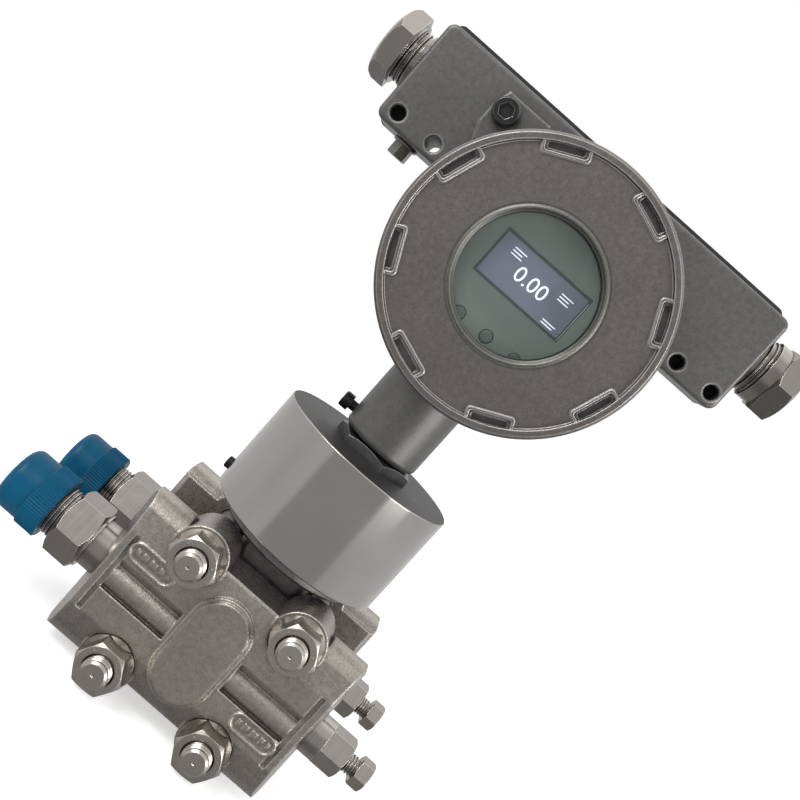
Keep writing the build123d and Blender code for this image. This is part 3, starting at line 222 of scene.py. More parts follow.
def screen_colour(red, green, blue):
    """An eight-bit screen colour as the shader's linear colour, by the sRGB curve."""
    linear = []
    for level in (red / 255, green / 255, blue / 255):
        linear.append(level / 12.92 if level <= 0.04045 else ((level + 0.055) / 1.055) ** 2.4)
    return (*linear, 1)


def noise(tree, place, scale, detail=4.0, roughness=0.55):
    """Plain cloud noise as a socket."""
    inputs = {"Vector": place, "Scale": scale, "Detail": detail, "Roughness": roughness}
    return put_node(tree, "ShaderNodeTexNoise", inputs).outputs["Fac"]


def soft_edges(tree, radius):
    """The surface's normal with its edges rounded off."""
    bevel = put_node(tree, "ShaderNodeBevel", {"Radius": radius}, samples=BEVEL_SAMPLES)
    return bevel.outputs["Normal"]


def relief(tree, height, distance, strength, normal=None):
    """The normal of a fine relief, on top of another normal if there is one."""
    inputs = {"Height": height, "Distance": distance, "Strength": strength}
    if normal is not None:
        inputs["Normal"] = normal
    return put_node(tree, "ShaderNodeBump", inputs).outputs["Normal"]


def edge_mask(tree, width, low=0.72):
    """One along edges and zero on open faces, from the rounded normal."""
    flat = put_node(tree, "ShaderNodeNewGeometry").outputs["Normal"]
    inputs = {0: soft_edges(tree, width), 1: flat}
    same = put_node(tree, "ShaderNodeVectorMath", inputs, operation="DOT_PRODUCT")
    return map_value(tree, same.outputs["Value"], 0.0, 1.0, FLAT_ABOVE, low)


def in_corners(tree, colour, distance, darkest):
    """Paint shade into a colour: darken it where the shape closes in on itself."""
    inputs = {"Distance": distance}
    openness = put_node(tree, "ShaderNodeAmbientOcclusion", inputs, samples=CORNER_SAMPLES)
    stops = [(OPEN_FROM, (darkest, darkest, darkest, 1)), (OPEN_TO, WHITE)]
    shade = colour_ramp(tree, openness.outputs["AO"], stops)
    return mix_colours(tree, 1.0, colour, shade, "MULTIPLY")


def feed_shader(tree, shader, colour, rough, normal):
    """Link a finish's colour, roughness and normal to its shader."""
    for name, socket in (("Base Color", colour), ("Roughness", rough), ("Normal", normal)):
        tree.links.new(socket, shader.inputs[name])


def blasted_casting(
    name,
    dark,
    light,
    rubbed,
    roughness,
    grain=0.0005,
    depth=0.00008,
    corner=0.35,
    reach=0.003,
    soft=0.0004,
    wear=0.0007,
    worn_at=0.72,
    metallic=0.85,
):
    """Bead-blasted cast metal: mottled, fine pitted grain, edges painted bright.

    grain and depth size the pits, corner and reach the painted shade in the corners,
    soft the edges' rounding, and wear and worn_at the line along the edges that is
    painted bright, partly as rubbing and partly as a highlight.
    """
    material, tree, shader, place = new_material(name)
    clouds = noise(tree, place, scale=60.0, detail=6.0, roughness=0.6)
    stains = noise(tree, place, scale=480.0, detail=5.0, roughness=0.65)
    patches = mix_colours(tree, STAIN_SHARE, clouds, stains)
    mottle = colour_ramp(tree, patches, [(MOTTLE_FROM, dark), (MOTTLE_TO, light)])
    specks = noise(tree, place, scale=1 / grain, detail=3.0)
    speckled = mix_colours(tree, SPECK_SHARE, mottle, specks, "OVERLAY")
    # Painted highlight and rubbing: the edges are lightened.
    worn = mix_colours(tree, edge_mask(tree, wear, worn_at), speckled, rubbed)
    # Painted shade: the colour is darkened in the corners.
    tone = in_corners(tree, worn, reach, corner)
    low, high = roughness - CAST_ROUGH_SPREAD, roughness + CAST_ROUGH_SPREAD
    rough = map_value(tree, stains, low, high, STAIN_FROM, STAIN_TO)
    swell = relief(tree, stains, distance=depth * 2, strength=0.5, normal=soft_edges(tree, soft))
    pits = relief(tree, specks, distance=depth, strength=0.9, normal=swell)
    feed_shader(tree, shader, tone, rough, pits)
    shader.inputs["Metallic"].default_value = metallic
    return material


def dress(node_names, material):
    """Give CAD nodes their finish."""
    for name in node_names:
        nodes[name].data.materials.clear()
        nodes[name].data.materials.append(material)


flange_finish = blasted_casting(
    "pickled_cast_steel",
    dark=screen_colour(150, 144, 137),
    light=screen_colour(168, 162, 155),
    rubbed=screen_colour(238, 233, 226),
    roughness=0.28,
    depth=0.00014,
    corner=0.3,
    soft=0.0011,
    reach=0.006,
)
dress(["process_flange_front", "process_flange_rear"], flange_finish)


def place_mm(x, y, z):
    """A place given in millimetres."""
    return Vector((x, y, z)) * MM


def select_only(piece):
    """Deselect everything else and make one piece active."""
    bpy.ops.object.select_all(action="DESELECT")
    piece.select_set(True)
    bpy.context.view_layer.objects.active = piece


def bake_place(piece):
    """Move the piece's place, turn and scale into its mesh."""
    select_only(piece)
    bpy.ops.object.transform_apply(location=True, rotation=True, scale=True)
    return piece


def join_pieces(parts):
    """Join separate meshes into one piece."""
    select_only(parts[0])
    for part in parts[1:]:
        part.select_set(True)
    bpy.ops.object.join()
    return bpy.context.object


def finish_piece(piece, name, material, body):
    """Name, colour and hang one finished piece on its body."""
    piece.name = name
    piece.data.name = name
    piece.data.materials.clear()
    piece.data.materials.append(material)
    select_only(piece)
    bpy.ops.object.shade_smooth_by_angle(angle=SMOOTH_BELOW)
    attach(piece, body)


def small_bar(centre, size):
    """One small bar with rounded edges; its three sides are in millimetres."""
    bpy.ops.object.select_all(action="DESELECT")
    sides = [side * MM for side in size]
    bpy.ops.mesh.primitive_cube_add(size=1, location=centre, scale=sides)
    bar = bake_place(bpy.context.object)
    bpy.ops.object.mode_set(mode="EDIT")
    bpy.ops.mesh.select_all(action="SELECT")
    bpy.ops.mesh.bevel(offset=min(sides) * BAR_ROUNDING, segments=2, affect="EDGES")
    bpy.ops.object.mode_set(mode="OBJECT")
    return bar


for side, face in (("front", FLANGE_FACE_Y), ("rear", -FLANGE_FACE_Y)):
    bars = []
    for tag_x, tag_z in TAG_PLACES:
        for bar_x, bar_w in TAG_BARS:
            centre = place_mm(tag_x + bar_x, face, PORT_Z + tag_z)
            bars.append(small_bar(centre, (bar_w, TAG_BAR_DEPTH, TAG_BAR_H)))
    name = f"cast_marks_{side}"
    finish_piece(join_pieces(bars), name, flange_finish, "sensor_base")

# Sensor capsule: the measuring cell's forged body, clamped between the flanges,
# darker than they are, with a black sealing ring on each face.
capsule_finish = blasted_casting(
    "dark_forged_steel",
    dark=screen_colour(98, 97, 95),
    light=screen_colour(128, 125, 121),
    rubbed=screen_colour(170, 166, 160),
    roughness=0.36,
    corner=0.25,
)
dress(["sensor_capsule"], capsule_finish)


def moulded_rubber(name, colour, bloom_gain, roughness):
    """Matt black rubber with a dusty bloom."""
    material, tree, shader, place = new_material(name)
    bloom = noise(tree, place, scale=220.0, detail=4.0, roughness=0.5)
    dusty = (*(level * bloom_gain for level in colour[:3]), 1)
    tone = colour_ramp(tree, bloom, [(0.0, colour), (1.0, dusty)])
    tree.links.new(tone, shader.inputs["Base Color"])
    skin = relief(tree, bloom, distance=0.00003, strength=0.4)
    tree.links.new(skin, shader.inputs["Normal"])
    shader.inputs["Roughness"].default_value = roughness
    return material


rubber_finish = moulded_rubber(
    "black_seal_rubber",
    colour=screen_colour(24, 24, 25),
    bloom_gain=2.2,
    roughness=0.7,
)
dress(["flange_seal_front", "flange_seal_rear", "rear_gasket"], rubber_finish)
dress(["cover_oring", "gland_seal"], rubber_finish)

# Flange studs and nuts: plain stainless, turned and rolled, with threads cut on
# the ends that stand out of the nuts, and punched ticks on the front nuts' faces.
BOLT_X = 23.0
BOLT_Z = 25.5
BOLT_ROOT_R = 5.05
BOLT_CREST_R = 5.55
BOLT_PITCH = 1.8
BOLT_END_Y = -55.7
BOLT_POINT = 1.2
NUT_FACE_Y = -50.4
THREAD_IN_NUT = 1.6
TICK_ANGLES = (25, 140, 265)
TICK_R = 7.2
TICK_SIZE = (0.35, 0.3, 1.3)
TICK_SINK = 0.05
# A thread's foot lies below its root and is a share of the pitch; the crest's
# width is a share of the foot's.
THREAD_SINK = 0.1
THREAD_FOOT = 0.86
THREAD_CREST = 0.3
THREAD_STEPS = 36
# How often the tool lines change in a metre along the axis, and round it.
TOOL_LINES = 5000.0
LINES_AROUND = 9.0
LINE_SHARE = 0.8
LINE_ROUGH_SPREAD = 0.03
MACHINED_WEAR = 0.0004
BARE_METAL = 0.95
AXIS_TURNS = {
    "X": (0, math.radians(90), 0),
    "-X": (0, math.radians(-90), 0),
    "Y": (math.radians(-90), 0, 0),
    "-Y": (math.radians(90), 0, 0),
}


def machined_metal(name, dark, light, edge, roughness, axis):
    """Turned or rolled metal: fine tool lines round an axis, slight stains, edges painted bright
    as rubbing and as a highlight, corners darkened as painted shade.
    """
    material, tree, shader, place = new_material(name)
    stains = noise(tree, place, scale=240.0, detail=5.0)
    stretch = [LINES_AROUND] * 3
    stretch["XYZ".index(axis)] = TOOL_LINES
    along = put_node(tree, "ShaderNodeMapping", {"Vector": place, "Scale": stretch})
    tool_lines = noise(tree, along.outputs["Vector"], scale=1.0, detail=2.0)
    lined = mix_colours(tree, LINE_SHARE, stains, tool_lines)
    tone = colour_ramp(tree, lined, [(MOTTLE_FROM, dark), (MOTTLE_TO, light)])
    # Painted highlight and rubbing: the edges are lightened.
    worn = mix_colours(tree, edge_mask(tree, MACHINED_WEAR), tone, edge)
    # Painted shade: the colour is darkened in the corners.
    dirty = in_corners(tree, worn, distance=0.0025, darkest=0.3)
    low, high = roughness - LINE_ROUGH_SPREAD, roughness + LINE_ROUGH_SPREAD
    rough = map_value(tree, stains, low, high, STAIN_FROM, STAIN_TO)
    rounded = soft_edges(tree, radius=0.00015)
    marks = relief(tree, tool_lines, distance=0.00002, strength=0.12, normal=rounded)
    feed_shader(tree, shader, dirty, rough, marks)
    shader.inputs["Metallic"].default_value = BARE_METAL
    return material


bolt_finish = machined_metal(
    "rolled_stud_steel",
    dark=screen_colour(164, 158, 151),
    light=screen_colour(184, 178, 170),
    edge=screen_colour(250, 246, 240),
    roughness=0.27,
    axis="Y",
)
dress(["flange_studs", "flange_nuts"], bolt_finish)


def pick_vertices(piece, wanted):
    """In edit mode, select the vertices whose place is wanted."""
    bpy.ops.object.mode_set(mode="EDIT")
    bpy.ops.mesh.select_mode(type="VERT")
    bpy.ops.mesh.select_all(action="DESELECT")
    bpy.ops.object.mode_set(mode="OBJECT")
    for vertex in piece.data.vertices:
        vertex.select = wanted(vertex.co)
    bpy.ops.object.mode_set(mode="EDIT")


def cut_thread(place, axis, root, crest, length, pitch):
    """A helical thread ridge: a trapezium screwed round the axis and capped.

    It starts at place, and its radii, length and pitch are in millimetres.
    """
    bpy.ops.object.select_all(action="DESELECT")
    foot = root - THREAD_SINK
    middle = (foot + crest) / 2 * MM
    upright = (math.radians(90), 0, 0)
    bpy.ops.mesh.primitive_plane_add(size=1, location=(middle, 0, 0), rotation=upright)
    ridge = bpy.context.object
    ridge.scale = ((crest - foot) * MM, pitch * THREAD_FOOT * MM, 1)
    bake_place(ridge)
    pick_vertices(ridge, lambda corner: corner.x > middle)
    bpy.ops.transform.resize(value=(1, 1, THREAD_CREST))
    bpy.ops.mesh.select_all(action="SELECT")
    bpy.ops.mesh.delete(type="ONLY_FACE")
    bpy.ops.object.mode_set(mode="OBJECT")
    screw = ridge.modifiers.new("screw", "SCREW")
    screw.axis = "Z"
    screw.screw_offset = pitch * MM
    screw.iterations = max(1, round(length / pitch))
    screw.steps = THREAD_STEPS
    screw.render_steps = THREAD_STEPS
    bpy.ops.object.modifier_apply(modifier="screw")
    bpy.ops.object.mode_set(mode="EDIT")
    bpy.ops.mesh.select_all(action="SELECT")
    bpy.ops.mesh.fill_holes(sides=0)
    bpy.ops.mesh.select_all(action="SELECT")
    bpy.ops.mesh.normals_make_consistent(inside=False)
    bpy.ops.object.mode_set(mode="OBJECT")
    ridge.rotation_euler = AXIS_TURNS[axis]
    ridge.location = place
    return bake_place(ridge)


bolt_threads = []
nut_ticks = []
thread_y = NUT_FACE_Y + THREAD_IN_NUT
thread_length = thread_y - BOLT_END_Y - BOLT_POINT
for bolt_x in (-BOLT_X, BOLT_X):
    for bolt_z in (PORT_Z - BOLT_Z, PORT_Z + BOLT_Z):
        for axis, sign in (("-Y", 1), ("Y", -1)):
            start = place_mm(bolt_x, sign * thread_y, bolt_z)
            thread = cut_thread(start, axis, BOLT_ROOT_R, BOLT_CREST_R, thread_length, BOLT_PITCH)
            bolt_threads.append(thread)
        for angle in TICK_ANGLES:
            tick_x = bolt_x + TICK_R * math.cos(math.radians(angle))
            tick_z = bolt_z + TICK_R * math.sin(math.radians(angle))
            centre = place_mm(tick_x, NUT_FACE_Y + TICK_SINK, tick_z)
            nut_ticks.append(small_bar(centre, TICK_SIZE))
for name, parts in (("stud_threads", bolt_threads), ("nut_ticks", nut_ticks)):
    finish_piece(join_pieces(parts), name, bolt_finish, "sensor_base")

# Process ports: turned stainless adapters with a bright collar, a hexagon and a
# thread that runs into the blue moulded cap; the caps are ribbed at the mouth.
# The adapters replace their plain solids, so that the thread has its root.
PORT_Y = 27.5
NIPPLE_END_R = 10.0
NIPPLE_ROOT_R = 9.2
NIPPLE_CREST_R = 9.95
NIPPLE_PITCH = 1.5
NIPPLE_THREAD_L = 18.0
NIPPLE_HEX_END = {"front": -68.5, "rear": -66.2}
HEX_CLEAR = 0.1
THREAD_FROM_HEX = 0.5
MERGE_WITHIN = 0.00001
CAP_MOUTH_X = {"front": -73.0, "rear": -71.5}
CAP_BAND_R = 12.9
CAP_BAND_L = 9.0
CAP_BAND_ENDS = 0.9
CAP_RIB_WALL = 0.5
CAP_RIBS = 72
CAP_RIB_UP = 1.027
# How far scuffs take a plastic's roughness below and above its mean.
SCUFF_DROP, SCUFF_RISE = 0.08, 0.1

nipple_finish = machined_metal(
    "turned_port_steel",
    dark=screen_colour(153, 147, 141),
    light=screen_colour(165, 159, 153),
    edge=screen_colour(246, 243, 238),
    roughness=0.2,
    axis="X",
)
dress(["process_nipple_front", "process_nipple_rear"], nipple_finish)


def turn_down(side, centre, from_radius, to_radius, beyond_x):
    """A copy of the port's adapter whose end is turned down to the thread's root.

    The radii, and the place along X beyond which it is cut, are in millimetres.
    """
    node = nodes[f"process_nipple_{side}"]
    adapter = bpy.data.objects.new(f"port_adapter_{side}", node.data.copy())
    bpy.context.collection.objects.link(adapter)
    select_only(adapter)
    bpy.ops.mesh.customdata_custom_splitnormals_clear()
    pick_vertices(adapter, lambda corner: True)
    bpy.ops.mesh.remove_doubles(threshold=MERGE_WITHIN)
    between = (from_radius + to_radius) / 2 * MM

    def on_thread(corner):
        off_axis = math.hypot(corner.y - centre.y, corner.z - centre.z)
        return off_axis > between and corner.x < beyond_x * MM

    pick_vertices(adapter, on_thread)
    cut = to_radius / from_radius
    bpy.ops.transform.resize(value=(1, cut, cut), center_override=centre)
    bpy.ops.mesh.select_all(action="SELECT")
    bpy.ops.mesh.remove_doubles(threshold=MERGE_WITHIN)
    bpy.ops.object.mode_set(mode="OBJECT")
    return adapter


def moulded_plastic(name, dark, light, roughness, flow_size, soft=0.0003, shine=0.5):
    """Moulded plastic with faint flow clouds and handling scuffs."""
    material, tree, shader, place = new_material(name)
    flow = noise(tree, place, scale=1 / flow_size, detail=3.0)
    tint = colour_ramp(tree, flow, [(STAIN_FROM, dark), (STAIN_TO, light)])
    scuffs = noise(tree, place, scale=900.0)
    rough = map_value(tree, scuffs, roughness - SCUFF_DROP, roughness + SCUFF_RISE)
    # Painted shade: the colour is darkened in the corners.
    dirty = in_corners(tree, tint, distance=0.0015, darkest=0.45)
    rounded = soft_edges(tree, soft)
    skin = relief(tree, scuffs, distance=0.00002, strength=0.3, normal=rounded)
    feed_shader(tree, shader, dirty, rough, skin)
    shader.inputs["Specular IOR Level"].default_value = shine
    return material


cap_finish = moulded_plastic(
    "blue_cap_plastic",
    dark=screen_colour(3, 71, 102),
    light=screen_colour(6, 82, 113),
    roughness=0.34,
    flow_size=0.012,
    soft=0.00005,
    shine=0.16,
)
dress(["protective_cap_front", "protective_cap_rear"], cap_finish)


def ribbed_band(place, radius, length, ribs):
    """The cap's gripping band, in millimetres: a short wall ribbed along the axis."""
    bpy.ops.object.select_all(action="DESELECT")
    bpy.ops.mesh.primitive_cylinder_add(
        vertices=ribs * 2,
        radius=radius * MM,
        depth=length * MM,
        end_fill_type="NOTHING",
        location=(0, 0, 0),
    )
    band = bpy.context.object
    step = math.pi / ribs
    pick_vertices(band, lambda corner: round(math.atan2(corner.y, corner.x) / step) % 2 == 0)
    bpy.ops.transform.resize(value=(CAP_RIB_UP, CAP_RIB_UP, 1))
    bpy.ops.object.mode_set(mode="OBJECT")
    wall = band.modifiers.new("wall", "SOLIDIFY")
    wall.thickness = CAP_RIB_WALL * MM
    wall.offset = -1
    bpy.ops.object.modifier_apply(modifier="wall")
    band.rotation_euler = AXIS_TURNS["X"]
    band.location = place
    return bake_place(band)


for side, sign in (("front", -1), ("rear", 1)):
    hex_end = NIPPLE_HEX_END[side]
    start = place_mm(hex_end - THREAD_FROM_HEX, sign * PORT_Y, PORT_Z)
    adapter = turn_down(side, start, NIPPLE_END_R, NIPPLE_ROOT_R, hex_end - HEX_CLEAR)
    thread = cut_thread(start, "-X", NIPPLE_ROOT_R, NIPPLE_CREST_R, NIPPLE_THREAD_L, NIPPLE_PITCH)
    for piece, kind in ((adapter, "adapter"), (thread, "thread")):
        name = f"port_{kind}_{side}"
        finish_piece(piece, name, nipple_finish, "sensor_base")
    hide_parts(f"process_nipple_{side}")
    centre = place_mm(CAP_MOUTH_X[side] - CAP_BAND_L / 2, sign * PORT_Y, PORT_Z)
    band = ribbed_band(centre, CAP_BAND_R, CAP_BAND_L - CAP_BAND_ENDS, CAP_RIBS)
    finish_piece(band, f"cap_ribs_{side}", cap_finish, f"cap_{side}")

# Vent valves: turned bodies with a bright collar, and small hexagon screws with
# a fine thread that carries on into the body as the screw is turned out.
VENT_ROOT_R = 3.3
VENT_CREST_R = 3.86
VENT_PITCH = 1.25
VENT_THREAD_L = 8.75
VENT_THREAD_X = {"front": 61.4, "rear": 60.7}

vent_finish = machined_metal(
    "turned_vent_steel",
    dark=screen_colour(158, 153, 147),
    light=screen_colour(172, 167, 161),
    edge=screen_colour(246, 243, 237),
    roughness=0.2,
    axis="X",
)
dress(["vent_body_front", "vent_body_rear", "vent_screw_front", "vent_screw_rear"], vent_finish)
dress(["vent_needle_front", "vent_needle_rear"], vent_finish)
for side, sign in (("front", -1), ("rear", 1)):
    start = place_mm(VENT_THREAD_X[side], sign * PORT_Y, PORT_Z)
    thread = cut_thread(start, "X", VENT_ROOT_R, VENT_CREST_R, VENT_THREAD_L, VENT_PITCH)
    finish_piece(thread, f"vent_thread_{side}", vent_finish, f"vent_{side}")

# Hub: one plain stainless bar turned all over, its tool lines running round it,
# with a black set screw low on the left and a thin lock nut on its stem.
HUB_TOP_Z = 122.5
HUB_END_FROM = HUB_TOP_Z - 0.1
HUB_END_ROUGHNESS = 0.5
RING_STRETCH = 700.0
RING_FROM, RING_TO = 0.35, 0.65
RING_ROUGH_DROP, RING_ROUGH_RISE = 0.02, 0.03
CLOUD_SHARE = 0.65


def turned_bar(name, dark, light, end_tone, end_level, roughness):
    """Turned bar stock: rings round Z on the side, a rougher end face painted darker as shade,
    edges painted bright as a highlight and corners darkened as painted shade.
    """
    material, tree, shader, place = new_material(name)
    parts = put_node(tree, "ShaderNodeSeparateXYZ", {"Vector": place}).outputs
    fine = calculate(tree, "MULTIPLY", parts["Z"], RING_STRETCH)
    inputs = {"X": parts["X"], "Y": parts["Y"], "Z": fine}
    rings_at = put_node(tree, "ShaderNodeCombineXYZ", inputs).outputs["Vector"]
    rings = noise(tree, rings_at, scale=7.0)
    clouds = noise(tree, place, scale=30.0, detail=3.0)
    ringed = mix_colours(tree, CLOUD_SHARE, rings, clouds)
    side_tone = colour_ramp(tree, ringed, [(RING_FROM, dark), (RING_TO, light)])
    at_end = calculate(tree, "GREATER_THAN", parts["Z"], end_level)
    # Painted shade: the end face gets a darker colour for how the light falls on it.
    tone = mix_colours(tree, at_end, side_tone, end_tone)
    # Painted highlight: the edges are lightened.
    worn = mix_colours(tree, edge_mask(tree, MACHINED_WEAR), tone, light)
    # Painted shade: the colour is darkened in the corners.
    dirty = in_corners(tree, worn, distance=0.006, darkest=0.3)
    low, high = roughness - RING_ROUGH_DROP, roughness + RING_ROUGH_RISE
    side_rough = map_value(tree, rings, low, high)
    inputs = {"Factor": at_end, "A": side_rough, "B": HUB_END_ROUGHNESS}
    rough = put_node(tree, "ShaderNodeMix", inputs, data_type="FLOAT").outputs["Result"]
    rounded = soft_edges(tree, radius=0.0003)
    cuts = relief(tree, rings, distance=0.00001, strength=0.25, normal=rounded)
    feed_shader(tree, shader, dirty, rough, cuts)
    shader.inputs["Metallic"].default_value = BARE_METAL
    return material


# The hub's end face is painted dark as shade, and its edges painted bright as a highlight.
hub_finish = turned_bar(
    "turned_hub_steel",
    dark=screen_colour(161, 158, 154),
    light=screen_colour(170, 167, 163),
    end_tone=screen_colour(78, 76, 75),
    end_level=HUB_END_FROM * MM,
    roughness=0.13,
)
dress(["sensor_hub"], hub_finish)
lock_nut_finish = machined_metal(
    "lock_nut_steel",
    dark=screen_colour(92, 92, 93),
    light=screen_colour(114, 114, 115),
    edge=screen_colour(206, 206, 208),
    roughness=0.3,
    axis="Z",
)
dress(["hub_lock_nut"], lock_nut_finish)

FILM_ROUGH_DROP, FILM_ROUGH_RISE = 0.05, 0.1
FILM_METALLIC = 0.5


def oxide_black(name, colour, edge, roughness):
    """Black oxide on small screws, the edges painted lighter as rubbing and as a highlight."""
    material, tree, shader, place = new_material(name)
    film = noise(tree, place, scale=800.0, detail=3.0, roughness=0.5)
    # Painted highlight and rubbing: the edges are lightened.
    worn = mix_colours(tree, edge_mask(tree, width=0.0003), colour, edge)
    rough = map_value(tree, film, roughness - FILM_ROUGH_DROP, roughness + FILM_ROUGH_RISE)
    tree.links.new(worn, shader.inputs["Base Color"])
    tree.links.new(rough, shader.inputs["Roughness"])
    shader.inputs["Metallic"].default_value = FILM_METALLIC
    return material


black_finish = oxide_black(
    "black_oxide",
    colour=screen_colour(30, 30, 32),
    edge=screen_colour(92, 90, 88),
    roughness=0.38,
)
dress(["hub_set_screw", "neck_screw", "rear_cover_screws", "window_retainer"], black_finish)

# Housing: neck, round drum and long terminal box cast in one, bead blasted to an
# even dark grey, with a screwed rear cover behind a black gasket, a dark cap screw
# in its front ear and an earthing screw under the box.
# The casting's edges are painted bright, partly as rubbing and partly as a highlight, and its
# corners darkened as painted shade.
housing_finish = blasted_casting(
    "blasted_housing_casting",
    dark=screen_colour(91, 90, 89),
    light=screen_colour(103, 102, 101),
    rubbed=screen_colour(184, 182, 178),
    roughness=0.42,
    grain=0.0004,
    depth=0.00005,
    wear=0.0013,
    worn_at=0.9,
    metallic=0.6,
)
dress(["housing_casting", "rear_cover"], housing_finish)
ear_screw_finish = machined_metal(
    "dark_cap_screw",
    dark=screen_colour(58, 58, 58),
    light=screen_colour(92, 92, 91),
    edge=screen_colour(206, 206, 202),
    roughness=0.28,
    axis="Y",
)
dress(["ear_screw"], ear_screw_finish)
ground_finish = machined_metal(
    "ground_screw_steel",
    dark=screen_colour(96, 94, 90),
    light=screen_colour(140, 137, 132),
    edge=screen_colour(214, 210, 204),
    roughness=0.28,
    axis="Z",
)
dress(["ground_screw", "ground_washer"], ground_finish)

# Display cover: a heavy screwed ring with a rim, eight wrench pockets and a round
# window; the face is a warmer grey than the housing, the rim's edges are painted
# pale as rubbing and as a highlight, and the bore round the window is painted
# darker and greener as shade.
HEAD_Z = 208.3
BORE_R = 28.4
BORE_LIP_R = 28.9
BORE_GAIN = (0.66, 0.7, 0.66, 1)


def gain_by_radius(material, start, end, inner, outer):
    """Multiply a finish's colour by inner near the head's axis, by outer far from it."""
    tree = material.node_tree
    shader = tree.nodes["Principled BSDF"]
    tone = shader.inputs["Base Color"].links[0].from_socket
    from_axis = put_node(tree, "ShaderNodeTexCoord").outputs["Object"]
    for operation, other in (("SUBTRACT", place_mm(0, 0, HEAD_Z)), ("MULTIPLY", (1, 0, 1))):
        inputs = {0: from_axis, 1: other}
        step = put_node(tree, "ShaderNodeVectorMath", inputs, operation=operation)
        from_axis = step.outputs["Vector"]
    radius = put_node(tree, "ShaderNodeVectorMath", {0: from_axis}, operation="LENGTH")
    outward = map_value(tree, radius.outputs["Value"], 0.0, 1.0, start * MM, end * MM)
    gain = mix_colours(tree, outward, inner, outer)
    tree.links.new(mix_colours(tree, 1.0, tone, gain, "MULTIPLY"), shader.inputs["Base Color"])


cover_finish = blasted_casting(
    "blasted_cover_casting",
    dark=screen_colour(107, 103, 100),
    light=screen_colour(117, 113, 110),
    rubbed=screen_colour(218, 215, 209),
    roughness=0.42,
    grain=0.0004,
    depth=0.00004,
    corner=0.5,
    wear=0.0009,
    worn_at=0.85,
)
# Painted shade: the bore round the window is darkened and tinted green.
gain_by_radius(cover_finish, BORE_R, BORE_LIP_R, BORE_GAIN, WHITE)
dress(["display_cover"], cover_finish)

# Window: clear toughened glass, held in the cover by a ring from behind. It is
# drawn as a faint green film over the plate behind it.
GLASS_DARK = (0.2, 0.26, 0.24, 1)
GLASS_LIGHT = (0.26, 0.32, 0.3, 1)
GLASS_ROUGHNESS = 0.03
GLASS_ALPHA = 0.07
glass_finish, glass_tree, glass_shader, glass_place = new_material("window_glass")
glass_film = colour_ramp(
    glass_tree,
    noise(glass_tree, glass_place, scale=40.0, detail=2.0),
    [(STAIN_FROM, GLASS_DARK), (STAIN_TO, GLASS_LIGHT)],
)
glass_tree.links.new(glass_film, glass_shader.inputs["Base Color"])
glass_shader.inputs["Roughness"].default_value = GLASS_ROUGHNESS
glass_shader.inputs["Alpha"].default_value = GLASS_ALPHA
dress(["window_glass"], glass_finish)

# Faceplate and display: a lacquered green-grey plate, painted lighter towards its
# edge to offset the shade the cover's bore casts there, round a dark screen that
# shows one reading, with three round buttons under it.
PLATE_EDGE_GAIN = (1.6, 1.6, 1.56, 1)
PLATE_EDGE_FROM = 14
PLATE_EDGE_TO = 24
SCREEN_X = 1.4
SCREEN_Z = 210.3
SCREEN_FRONT_Y = -24.5
SCREEN_L = 39.2
SCREEN_H = 19.3
SCREEN_DARK = screen_colour(90, 94, 111)
SCREEN_LIGHT = screen_colour(105, 108, 128)
SCREEN_ROUGHNESS = 0.3
SCREEN_RIM_COLOUR = screen_colour(40, 44, 44)
SCREEN_RIM = 1.2
SCREEN_RIM_FADE = 0.3
DIGITS = "0.00"
DIGIT_SIZE = 8.2
DIGIT_HALF_DEPTH = 0.04
DIGIT_OUT = 0.06
DIGIT_PLACE = (-0.6, -0.4)
DIGIT_STEPS = 4
DIGIT_COLOUR = screen_colour(225, 232, 245)
DIGIT_ROUGHNESS = 0.5
DIGIT_GLOW = 0.55
SCREEN_BAR_H = 0.4
SCREEN_BAR_DEPTH = 0.1
# The short bars on the screen: place from its middle, and length.
SCREEN_BARS = (
    (-10.6, 5.9, 5.4),
    (-11.2, 4.7, 4.2),
    (-10.9, 3.5, 4.8),
    (12.4, 4.5, 5.4),
    (11.8, 3.3, 4.2),
    (12.1, 2.1, 4.8),
    (13.4, -6.4, 5.8),
    (13.0, -7.5, 5.0),
)
EDGE_INSET = 0.35
EDGE_OUT = 0.12
EDGE_DROP = 0.6
EDGE_SIZE = (0.3, 0.25, SCREEN_H - 2.4)

faceplate_finish = moulded_plastic(
    "green_plate_lacquer",
    dark=screen_colour(82, 89, 85),
    light=screen_colour(92, 99, 95),
    roughness=0.5,
    flow_size=0.02,
    shine=0.3,
)
# Painted light: the plate is lightened towards its edge, where the cover shades it.
gain_by_radius(faceplate_finish, PLATE_EDGE_FROM, PLATE_EDGE_TO, WHITE, PLATE_EDGE_GAIN)
dress(["display_faceplate"], faceplate_finish)
button_finish = moulded_plastic(
    "button_plastic",
    dark=screen_colour(74, 84, 78),
    light=screen_colour(86, 96, 90),
    roughness=0.35,
    flow_size=0.01,
)
dress(["button_left", "button_centre", "button_right"], button_finish)

